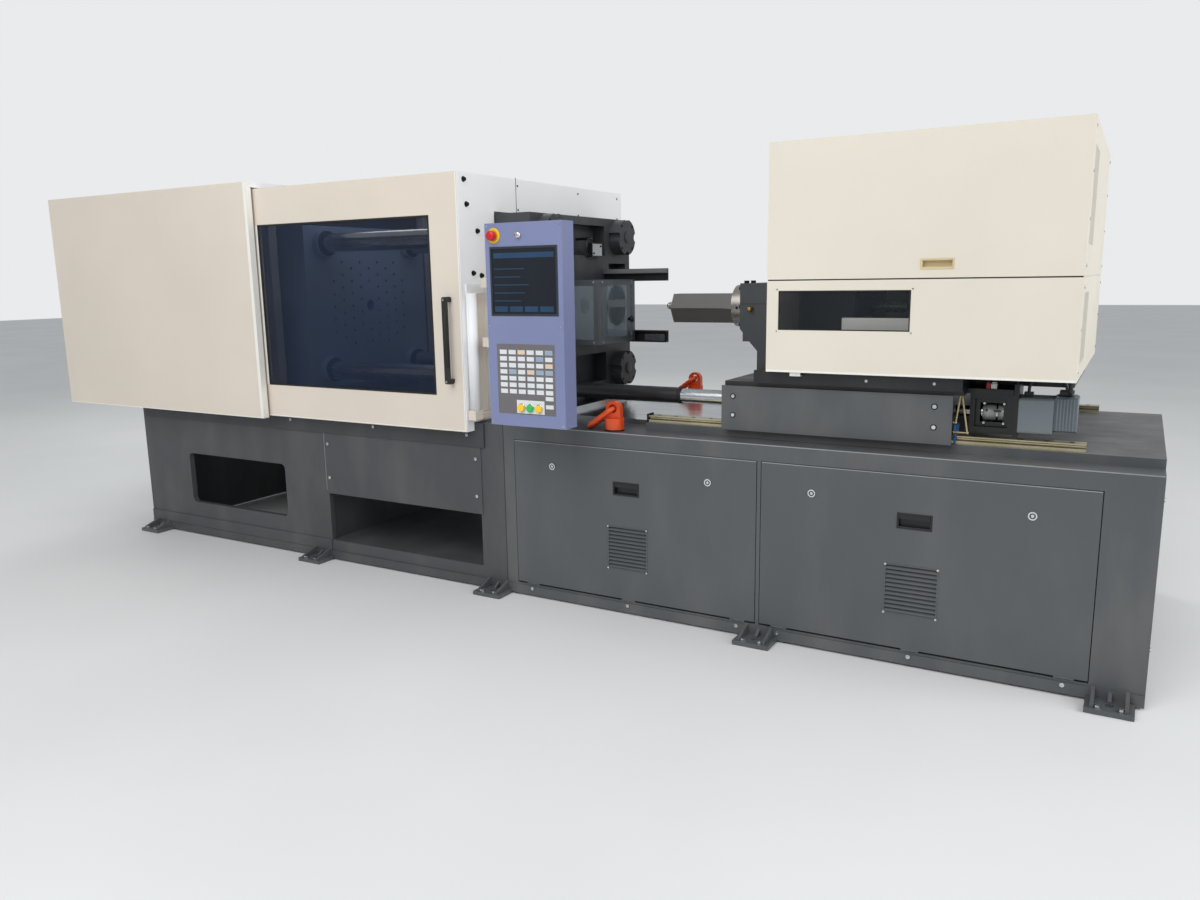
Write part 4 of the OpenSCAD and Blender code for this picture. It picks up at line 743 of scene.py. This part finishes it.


# Clamp covers: folded lips lightened as painted highlight, screws and vent meshes, and the white end frame with
# its posts
def dress_covers():
    seam, end, top = COVER_SEAM, COVER_END, COVER_TOP
    # Folded lips of the side covers, lightened as painted highlight
    blocks("side_cover_lips", "frame", "cream_painted_highlight", both_sides(
        ((seam, 0.768, 0.757), (seam + 0.0012, 0.797, top - 0.001)),
        ((seam - 0.02, 0.7968, 0.757), (seam + 0.0012, 0.798, top - 0.001)),
        ((end + 0.004, 0.7966, 0.7532), (seam - 0.001, 0.798, 0.7575))))
    screws("roof_screws", "frame", grid((-3.14, -2.6, -2.04, -1.47), (-0.77, -0.4, 0.0, 0.4, 0.77), top),
           UP, 0.0065, 0.003)
    screws("cover_end_screws", "frame", grid(end, (-0.76, -0.26, 0.26, 0.76), (0.8, 1.2, 1.6, 1.92)),
           LEFT, 0.0065, 0.003)
    blocks("cover_end_mesh", "frame", "vent",
           both_sides(((end + 0.0045, 0.12, 0.985), (end + 0.006, 0.44, 1.36))))
    # White end frame: screws with washers along its edge
    held = [(PORTAL, y, z) for y, z in
            ((-0.706, 1.893), (-0.692, 1.786), (-0.619, 1.671), (-0.66, 1.483), (-0.6, 1.472))]
    screws("end_frame_screws", "frame", held, RIGHT, 0.0085, 0.011, "black_screw")
    screws("end_frame_washers", "frame", held, RIGHT, 0.0125, 0.0022, "black_screw", 20, 0.9)
    # Round post and box column beside the gate's edge, between two brackets
    turned("end_frame_posts", "frame", "white", grid(-0.112, (-0.711, 0.711), 0.862), UP,
           [(0, 0.025), (0.532, 0.025)], 40)
    blocks("end_frame_columns", "frame", "cream", both_sides(
        ((-0.1285, 0.611, 0.849), (-0.114, 0.686, 1.3935)),
        ((-0.132, 0.684, 0.818), (-0.09, 0.742, 0.8625)),
        ((-0.132, 0.611, 0.818), (-0.102, 0.668, 0.8485))), 0.0012)
    screws("fascia_screws", "frame", grid(PORTAL, (-0.289, 0.272, 0.7), (1.893, 1.781)),
           RIGHT, 0.0048, 0.0025, "black_screw")
    blocks("fascia_seam", "frame", "black_plastic",
           [((PORTAL - 0.001, -0.304, 1.766), (PORTAL + 0.0004, -0.3, 1.93))])


# Gates: window gasket, trim and folded edges lightened as painted highlight, grip and rollers
def dress_gates():
    x0, x1, z0, z1 = GATE_WINDOW
    y = GATE_FRONT
    framed("gate_window_gasket", "gate", "rubber",
           (x0 + 0.016, y - 0.0015, z0 - 0.004), (x1 + 0.004, y - 0.0015, z1 + 0.004), 0.0055, 0.009, 0.0008)
    # Trim and edge return in lighter cream: painted highlight on the bent edges
    blocks("gate_window_trim", "gate", "cream_painted_highlight",
           [((x0 - 0.002, y - 0.0008, z0 - 0.002), (x0 + 0.0165, y + 0.0032, z1 + 0.002))], 0.0006)
    held = grid((x0 - 0.006, x1 + 0.006), y + 0.0115, (1.0, 1.2, 1.4, 1.6))
    held += grid((-1.3, -1.0, -0.7, -0.45), y + 0.0115, (z0 - 0.006, z1 + 0.006))
    screws("gate_frame_screws", "gate", held, REAR, 0.004)
    blocks("gate_edge_return", "gate", "cream_painted_highlight",
           [((-0.1412, y + 0.002, 0.765), (-0.14, -0.705, 1.922)),
            ((-0.1475, y - 0.0006, 0.7655), (-0.1412, y + 0.002, 1.921)),
            ((-1.4985, y - 0.0006, 0.7655), (-0.1476, y + 0.002, 0.7695))])
    screws("gate_pull_screws", "gate", grid(GATE_PULL, y - 0.046, (0.998, 1.367)), FRONT, 0.005, 0.003)
    turned("gate_pull_grip", "gate", "rubber", [(GATE_PULL, y - 0.037, 1.06)], UP,
           [(0, 0.01), (0.004, 0.0125), (0.241, 0.0125), (0.245, 0.01)], 20)
    for name, body, at in (("gate_rollers", "gate", y + 0.03), ("gate_rear_rollers", "gate_rear", -y - 0.044)):
        screws(name, body, grid((-1.3, -0.34), at, 1.895), REAR, 0.02, 0.014, "zinc", 28, 0.4)


# Control panel: display, keys, buttons, and the screws and fins at its back
def dress_panel():
    x0, x1, y, z0, z1 = PANEL
    body = "panel"
    framed("display_bezel", body, "bezel",
           (x0 + 0.022, y - 0.002, z1 - 0.372), (x1 - 0.022, y - 0.002, z1 - 0.094), 0.0035, 0.009, 0.001)
    # Plain light bands on the display, as a page with no words on it
    left, right, low = x0 + 0.04, x1 - 0.04, z1 - 0.355
    bands = [(left, low + 0.215, right, low + 0.236)]
    bands += [(left + k * 0.074, low, left + k * 0.074 + 0.064, low + 0.022) for k in range(4)]
    bands += [(left, low + 0.042 + k * 0.032, left + 0.13 + 0.02 * (k % 3), low + 0.046 + k * 0.032)
              for k in range(5)]
    blocks("display_fields", body, "screen_bar",
           [((ax, y + 0.0006, az), (bx, y + 0.001, bz)) for ax, az, bx, bz in bands])
    blocks("keypad_mat", body, "keypad", [((0.205, y - 0.0005, 0.903), (0.489, y + 0.0006, 1.192))])
    # Coloured caps over some of the keys, each given by its column and row
    pitch = (x1 - x0 - 0.104) / 6
    for colour, cells in (("blue", ((1, 3), (4, 3), (5, 3), (4, 5), (5, 6))),
                          ("peach", ((5, 4), (3, 3), (2, 6)))):
        caps = [(x0 + 0.052 + (i + 0.5) * pitch, y - 0.0018, z0 + 0.145 + j * 0.027) for i, j in cells]
        rows("keys_" + colour, body, caps, (pitch - 0.0115, 0.001, 0.0165), "key_" + colour)
    blocks("button_strip", body, "key",
           [((0.298, y - 0.0012, 0.907), (0.434, y + 0.0002, 0.962))]
           + [((0.442, y - 0.0025, z), (0.479, y + 0.0002, z + 0.0165)) for z in (0.931, 0.9645)], 0.0004)
    # Round buttons below, stop button and key switch above
    turned("button_rings", body, "chrome", grid(BUTTONS, y - 0.0012, BUTTON_Z), FRONT,
           [(0, 0.0185), (0.0025, 0.0185), (0.0035, 0.017)], 32, 0.0157)
    turned("stop_collar", body, "yellow_ring", [(0.208, y, z1 - 0.05)], FRONT,
           [(0, 0.031), (0.0028, 0.031), (0.0036, 0.03)], 40, 0.0098)
    turned("stop_cap_crown", "estop", "red", [(0.208, y - 0.026, z1 - 0.05)], FRONT,
           [(0, 0.02), (0.003, 0.0185), (0.0055, 0.013), (0.0065, 0.006), (0.0068, 0.001)], 36)
    for key, x, finish in zip("abc", BUTTONS, ("yellow", "green", "yellow")):
        turned("button_crown_" + key, "button_" + key, finish, [(x, y - 0.013, BUTTON_Z)], FRONT,
               [(0, 0.015), (0.0012, 0.0138), (0.0018, 0.01), (0.002, 0.001)], 28)
    turned("key_switch", body, "chrome", [(0.33, y, z1 - 0.05)], FRONT,
           [(0, 0.014), (0.004, 0.014), (0.006, 0.012), (0.012, 0.012), (0.012, 0.003)], 28)
    half = (z0 + z1) / 2
    screws("panel_screws", body, grid((x0 + 0.011, x1 - 0.011), y, (z0 + 0.012, half, z1 - 0.012)),
           FRONT, 0.0045, 0.002)
    screws("panel_back_screws", body, grid((x0 + 0.02, x1 - 0.02), y + 0.086, (z0 + 0.03, half, z1 - 0.03)),
           REAR, 0.005, 0.003)
    rows("panel_back_fins", body, [(x0 + 0.12 + 0.014 * k, y + 0.0885, z1 - 0.2) for k in range(14)],
         (0.004, 0.005, 0.22), "shell")
    screws("panel_arm_bolts", "frame", grid((-0.025, 0.043), -0.494, (1.135, 1.31, 1.485)),
           FRONT, 0.01, 0.01, "black_screw", 16)


# Injection unit: barrel, feed casting, side plates, sled and rail blocks
def dress_injection():
    body = "carriage"
    # Small socket in the rim of the barrel's collar, heater bands inside the cover, tip of the nozzle
    screws("collar_socket", body, [(0.919, -0.0948, AXIS - 0.006)], FRONT, 0.0065, 0.001, "black_screw", 16)
    turned("heater_bands", body, "mica", grid((0.65, 0.73, 0.81), 0, AXIS), RIGHT,
           [(0, 0.057), (0.065, 0.057)], 36, 0.0505)
    turned("nozzle_tip", body, "steel", [(0.54, 0, AXIS)], LEFT,
           [(0, 0.016), (0.006, 0.016), (0.012, 0.011), (0.016, 0.004)], 28)
    # Bright folded hem along the two side corners of the barrel cover
    blocks("barrel_cover_hems", body, "steel",
           both_sides(((0.5775, 0.0769, AXIS - 0.0116), (0.8885, 0.0787, AXIS - 0.0084))))
    # Feed casting: bolts on its top edge, face and foot, its parting line and a grease nipple
    bolts = grid(1.022, (-0.24, -0.16, 0.16, 0.24), 1.421) + grid(1.24, (-0.24, 0.24), 1.421)
    screws("casting_top_bolts", body, bolts, UP, 0.011, 0.011, "black_screw", 16)
    screws("casting_front_bolts", body, grid(1.004, (-0.255, 0.255), (1.245, 1.32, 1.4)),
           LEFT, 0.009, 0.008, "black_screw", 16)
    screws("casting_foot_bolts", body, grid(1.085, (-0.22, -0.11, 0.11, 0.22), 1.058),
           LEFT, 0.01, 0.008, "black_screw", 16)
    blocks("casting_parting_line", body, "black",
           both_sides(((1.0045, 0.2716, 1.332), (1.263, 0.2724, 1.3345))))
    turned("grease_nipple", body, "brass", [(1.056, -0.272, 1.312)], FRONT,
           [(0, 0.011), (0.007, 0.011), (0.01, 0.0075), (0.02, 0.0075), (0.022, 0.0095), (0.028, 0.0095),
            (0.031, 0.005)], 18)
    # Screws in the counterbores of the side plates with black rings round them as painted shade in the
    # counterbores, sled screws and the hood's stop tab
    places = grid((1.11, 1.89), SIDE_PLATE + 0.001, (0.9, 0.976))
    shade_rings = Shape()
    for s in SIDES:
        for x, _, z in places:
            shade_rings.lathe((x, -s * SIDE_PLATE, z), (0, s, 0), [(-0.001, 0.012), (0.0003, 0.012)], 28, 0.0072)
    shade_rings.make("counterbore_shade_rings", body, "black")
    screws_both_sides("side_plate_screws", body, places, 0.0074, 0.0046, "chrome", 16)
    screws_both_sides("sled_screws", body, grid((1.646, 1.889), -0.624, 1.061), 0.0055, 0.003, "zinc", 16)
    blocks("hood_stop_tab", body, "white_plug",
           [((1.359, -0.65, 1.071), (1.401, -0.6485, 1.0855)),
            ((1.359, -0.6485, 1.071), (1.401, -0.624, 1.0725))], 0.0004)
    # Wiper at the mouth of the carriage drive's tube, and the tube's bolts
    turned("drive_tube_wiper", "frame", "rubber", [(0.793, *DRIVE)], RIGHT,
           [(0, 0.0365), (0.01, 0.0365), (0.013, 0.0345)], 32, 0.0318)
    screws("drive_tube_bolts", "frame", grid(0.146, -0.468, (0.905, 0.981)),
           RIGHT, 0.009, 0.008, "black_screw", 16)
    dress_sled_motor(body)
    # Brass unions, blue end caps and black wipers of the blocks that run on the rails
    turned("oil_line_unions", body, "brass", [(1.9445, -0.56, 0.88), (1.9445, -0.57, 0.917)], RIGHT,
           [(0, 0.0062), (0.01, 0.0062), (0.012, 0.0048), (0.016, 0.0048)], 6, 0.0034)
    blocks("rail_block_caps", body, "blue_plug", both_sides(
        ((1.9521, 0.49, 0.8665), (1.961, 0.562, 0.906)),
        ((1.9521, 0.49, 0.8365), (1.961, 0.496, 0.8665)),
        ((1.9521, 0.55, 0.8365), (1.961, 0.556, 0.8665))), 0.0008)
    blocks("rail_block_wipers", body, "rubber", both_sides(
        *(((x + 0.01, 0.486, 0.851), (x + 0.018, 0.56, 0.902)) for x in (1.052, 1.816))), 0.001)


# Carriage drive: coupling in its bracket, motor flange, encoder and two connectors
def dress_sled_motor(body):
    x, (y, z) = 2.012, DRIVE
    turned("coupling", body, "coupling", [(x + 0.022, y, z)], RIGHT,
           [(0, 0.02), (0, 0.03), (0.002, 0.0315), (0.046, 0.0315), (0.047, 0.028), (0.052, 0.028),
            (0.053, 0.0315), (0.078, 0.0315), (0.08, 0.03), (0.08, 0.02)], 40)
    # Black block over the coupling's clamping slot: painted shade in the slot
    blocks("coupling_slot_shade", body, "black",
           [((x + 0.062, y - 0.033, z + 0.006), (x + 0.086, y - 0.027, z + 0.012))])
    screws("coupling_screws", body, [(x + 0.036, y - 0.0295, z + 0.01)], (0, -1, 0.3),
           0.005, 0.004, "black_screw")
    blocks("bracket_back", body, "black",
           [((x - 0.0005, y + 0.0585, z - 0.048), (x + 0.1125, y + 0.0615, z + 0.058))])
    framed("bracket_face", body, "black",
           (x, y - 0.046, z - 0.0465), (x + 0.112, y - 0.046, z + 0.0565), 0.004, 0.016, 0.0008)
    corners = [(x + dx, y - 0.046, z + dz) for dx in (0.03, 0.097) for dz in (-0.034, 0.038)]
    turned("bracket_pillars", body, "black", [(cx, cy + 0.006, cz) for cx, cy, cz in corners], FRONT,
           [(-0.098, 0.0075), (0.006, 0.0075), (0.0062, 0.004)], 16)
    screws("bracket_back_screws", body, corners, FRONT, 0.0042, 0.003, "zinc", 12)
    held = [(2.158, y + dy, z + dz) for dy in (-0.056, 0.056) for dz in (-0.06, 0.06)]
    screws("motor_flange_screws", body, held, RIGHT, 0.0055, 0.006, "zinc", 12)
    rows("encoder_ribs", body, [(2.284 + 0.0105 * k, y - 0.0532, 0.952) for k in range(6)],
         (0.004, 0.003, 0.112), "encoder")
    blocks("encoder_lid", body, "encoder", [((2.276, y - 0.046, 1.0138), (2.342, y + 0.046, 1.0152))], 0.0005)
    screws("encoder_screws", body, [(sx, y + dy, 1.0152) for sx in (2.281, 2.337) for dy in (-0.04, 0.04)],
           UP, 0.0035, 0.002, "zinc", 10)
    screws("encoder_end_screws", body, [(2.346, y + dy, sz) for dy in (-0.044, 0.044) for sz in (0.898, 1.006)],
           RIGHT, 0.0035, 0.002, "zinc", 10)
    for colour, x0, x1 in (("red", 2.046, 2.06), ("white", 2.062, 2.082)):
        blocks(colour + "_connector", body, colour + "_plug",
               [((x0, y - 0.064, 1.0362), (x1, y - 0.044, 1.056)),
                ((x0 + 0.002, y - 0.06, 1.056), (x1 - 0.002, y - 0.048, 1.061))], 0.001)


# Hood: window gasket and screws, lip lightened as painted highlight, dark strip as painted shadow in the seam
# between the hoods, vent meshes, pull cup and hinge screws
def dress_hood():
    x0, x1, y = HOOD
    screws("hood_window_screws", "carriage", grid((1.3045, 1.8055), -y, (1.2425, 1.3995)),
           FRONT, 0.0032, 0.0016)
    framed("hood_window_gasket", "carriage", "rubber",
           (1.3105, -y - 0.0005, 1.2475), (1.7995, -y - 0.0005, 1.3945), 0.003, 0.004)
    # Bottom lip of the hood, lightened as painted highlight
    blocks("hood_bottom_lip", "carriage", "cream_painted_highlight",
           both_sides(((x0 + 0.002, y - 0.004, HOOD_BOTTOM), (x1 - 0.002, y + 0.001, HOOD_BOTTOM + 0.008))))
    # Dark strip in the gap between the two hoods: painted shadow
    blocks("hood_gap_shadow_strip", "carriage", "rubber", both_sides(
        ((x0 + 0.003, y - 0.0008, HOOD_SPLIT + 0.0002), (x1 - 0.003, y - 0.004, HOOD_SPLIT + 0.0046))))
    blocks("inner_cable_trough", "carriage", "white_plug",
           [((1.54, -0.6, 1.215), (1.88, -0.56, 1.292))], 0.002)
    for name, body, heights in (("hood_end_screws", "carriage", (1.12, 1.26, 1.4)),
                                ("hood_upper_screws", "cover_upper", (1.47, 1.62, 1.77, 1.91))):
        screws(name, body, grid(x1, (-0.62, 0.62), heights), RIGHT, 0.0055, 0.003)
    for name, body, low, high in (("hood_slot_mesh", "carriage", 1.125, 1.395),
                                  ("hood_upper_slot_mesh", "cover_upper", 1.525, 1.875)):
        blocks(name, body, "vent", [((x1 - 0.0055, -0.575, low), (x1 - 0.0035, -0.29, high))])
    face, depth = -y + 0.0005, -y + 0.0225
    cup = Shape()
    cup.box((1.832, -y + 0.02, 1.472), (1.936, depth, 1.498))
    cup.box((1.832, face, 1.4955), (1.936, depth, 1.498))
    cup.box((1.832, face, 1.472), (1.936, depth, 1.4745))
    cup.box((1.832, face, 1.4745), (1.8345, depth, 1.4955))
    cup.box((1.9335, face, 1.4745), (1.936, depth, 1.4955))
    cup.frame((1.826, -y - 0.0018, 1.466), (1.942, -y - 0.0018, 1.504), 0.0018, 0.0065)
    cup.make("hood_pull_cup", "cover_upper", "tan", 0.0006)
    for name, body, z in (("hood_hinge_screws_low", "carriage", 1.412),
                          ("hood_hinge_screws_up", "cover_upper", 1.455)):
        screws(name, body, [(x + dx, y + 0.0025, z) for x in (1.414, 2.195) for dx in (-0.032, 0.032)],
               REAR, 0.0035, 0.0018)


# Bed: dark sunk caps in a row along the rails, end stops, the tray's screws and the swivels' washers
def dress_bed():
    screws("rail_caps", "frame", [(0.74 + 0.08 * k, s * RAIL_Y, 0.865) for k in range(21) for s in SIDES],
           UP, 0.0075, 0.0006, "black_screw", 16, 0.6)
    blocks("rail_stops", "frame", "black",
           both_sides(((0.69, 0.496, BED), (0.6985, 0.55, BED + 0.036))), 0.001)
    screws("tray_screws", "frame", grid((0.14, 0.42, 0.7, 0.93), (-0.415, 0.415), 0.804), UP, 0.006, 0.003)
    for key, x, y in (("front", 0.57, -0.622), ("rear", 0.395, 0.622)):
        turned("swivel_washer_" + key, "frame", "black", [(x, y, LEDGE + 0.0005)], UP,
               [(0, 0.046), (0.0035, 0.046), (0.0045, 0.045)], 40, 0.0365)


def sheet_with_hole(shape, x, thick, low, high, centre, radius, sides=48):
    """Flat sheet across X between two (Y, Z) corners with a round hole in it."""
    inner, outer = [], []
    for k in range(sides):
        a = 2 * math.pi * (k + 0.5) / sides
        c, d = math.cos(a), math.sin(a)
        reach = min((high[0] - centre[0]) / c if c > 0 else (low[0] - centre[0]) / c,
                    (high[1] - centre[1]) / d if d > 0 else (low[1] - centre[1]) / d)
        inner.append((centre[0] + radius * c, centre[1] + radius * d))
        outer.append((centre[0] + reach * c, centre[1] + reach * d))
    loops = [[(at, y, z) for y, z in loop] for at in (x, x + thick) for loop in (inner, outer)]
    i0, o0, i1, o1 = (m * sides for m in range(4))
    faces = []
    for k in range(sides):
        n = (k + 1) % sides
        faces += [(i0 + k, i0 + n, o0 + n, o0 + k), (i1 + n, i1 + k, o1 + k, o1 + n),
                  (i0 + n, i0 + k, i1 + k, i1 + n), (o0 + k, o0 + n, o1 + n, o1 + k)]
    shape.add([c for loop in loops for c in loop], faces)


# Purge guard: clear panes, bar, knob and screws, and the block at its lower channel
def dress_guard():
    body = "purge_guard"
    x0, x1, y, z0, z1 = GUARD
    glass = Shape()
    for s in SIDES:
        glass.box((x0 + 0.022, s * (y - 0.0015), z0 + 0.022), (x1 - 0.022, s * (y - 0.0045), z1 - 0.022))
    for z in (z0 + 0.0015, z1 - 0.0045):
        glass.box((x0 + 0.022, -y + 0.022, z), (x1 - 0.022, y - 0.022, z + 0.003))
    sheet_with_hole(glass, x1 - 0.0045, 0.003, (-y + 0.024, z0 + 0.024), (y - 0.024, z1 - 0.024),
                    (0, AXIS), 0.1)
    glass.make("guard_panes", body, "clear")
    blocks("guard_bar", body, "guard_frame",
           [((x1 - 0.0012, 0.106, z0 + 0.02), (x1 + 0.0006, 0.134, z1 - 0.02))], 0.0004)
    heights = (z0 + 0.011, z1 - 0.011)
    screws_both_sides("guard_screws", body, [(x, -y, z) for x in (x0 + 0.013, x1 - 0.025) for z in heights],
                      0.005, 0.003)
    screws("guard_end_screws", body, grid(x1, (-0.15, 0.15), heights), RIGHT, 0.005, 0.003)
    turned("guard_knob", body, "black_plastic", [(x1 + 0.0006, 0.117, 1.245)], RIGHT,
           [(0, 0.006), (0.01, 0.006), (0.012, 0.015), (0.024, 0.016), (0.03, 0.012), (0.032, 0.004)], 28)
    blocks("channel_block", "frame", "link", [((0.298, 0.196, 1.1305), (0.412, 0.2118, 1.164))], 0.001)


# Stage: pale floor and even light
def make_stage():
    made, tree, place = start("pale studio floor")
    tone = ramp(tree, noise(tree, place, 0.6, 3.0), [(0.3, srgb("#dfe0e0")), (0.7, srgb("#e6e7e7"))])
    shader = put(tree, "ShaderNodeBsdfPrincipled", {"Roughness": 0.6}, {"Base Color": tone})
    finish_surface(tree, shader)
    mesh = bpy.data.meshes.new("floor")
    corners = [(x, y, -0.0005) for x, y in ((-40, -40), (40, -40), (40, 40), (-40, 40))]
    mesh.from_pydata(corners, [], [(0, 1, 2, 3)])
    floor = bpy.data.objects.new("floor", mesh)
    mesh.materials.append(made)
    bpy.context.scene.collection.objects.link(floor)
    world = bpy.data.worlds.new("even light")
    bpy.context.scene.world = world
    world.use_nodes = True
    tree = world.node_tree
    tree.nodes.clear()
    seen = put(tree, "ShaderNodeBackground", {"Color": srgb("#e9ebec"), "Strength": 1.0})
    lit = put(tree, "ShaderNodeBackground", {"Color": srgb("#f2f5f8"), "Strength": 0.55})
    rays = put(tree, "ShaderNodeLightPath")
    mix = put(tree, "ShaderNodeMixShader",
              links={0: rays.outputs["Is Camera Ray"], 1: lit.outputs[0], 2: seen.outputs[0]})
    put(tree, "ShaderNodeOutputWorld", links={"Surface": mix.outputs[0]})
    for name, place, target, size, power in (
        ("key", (0.6, -5.8, 5.4), (0.0, 0.0, 0.9), 5.0, 250),
        ("fill", (7.8, -0.4, 3.6), (0.6, 0.0, 0.9), 4.6, 265),
        ("rim", (-5.0, 4.5, 5.0), (-0.5, 0.0, 1.0), 4.0, 120),
    ):
        data = bpy.data.lights.new(name, "AREA")
        data.shape = "SQUARE"
        data.size = size
        data.energy = power
        lamp = bpy.data.objects.new(name, data)
        aim = Vector(target) - Vector(place)
        lamp.matrix_world = Matrix.Translation(place) @ aim.to_track_quat("-Z", "Y").to_matrix().to_4x4()
        bpy.context.scene.collection.objects.link(lamp)


make_camera()
dress_nodes()
dress_base()
dress_doors()
dress_clamp()
dress_covers()
dress_gates()
dress_panel()
dress_injection()
dress_hood()
dress_bed()
dress_guard()
make_stage()
bpy.context.scene.view_settings.view_transform = "Standard"
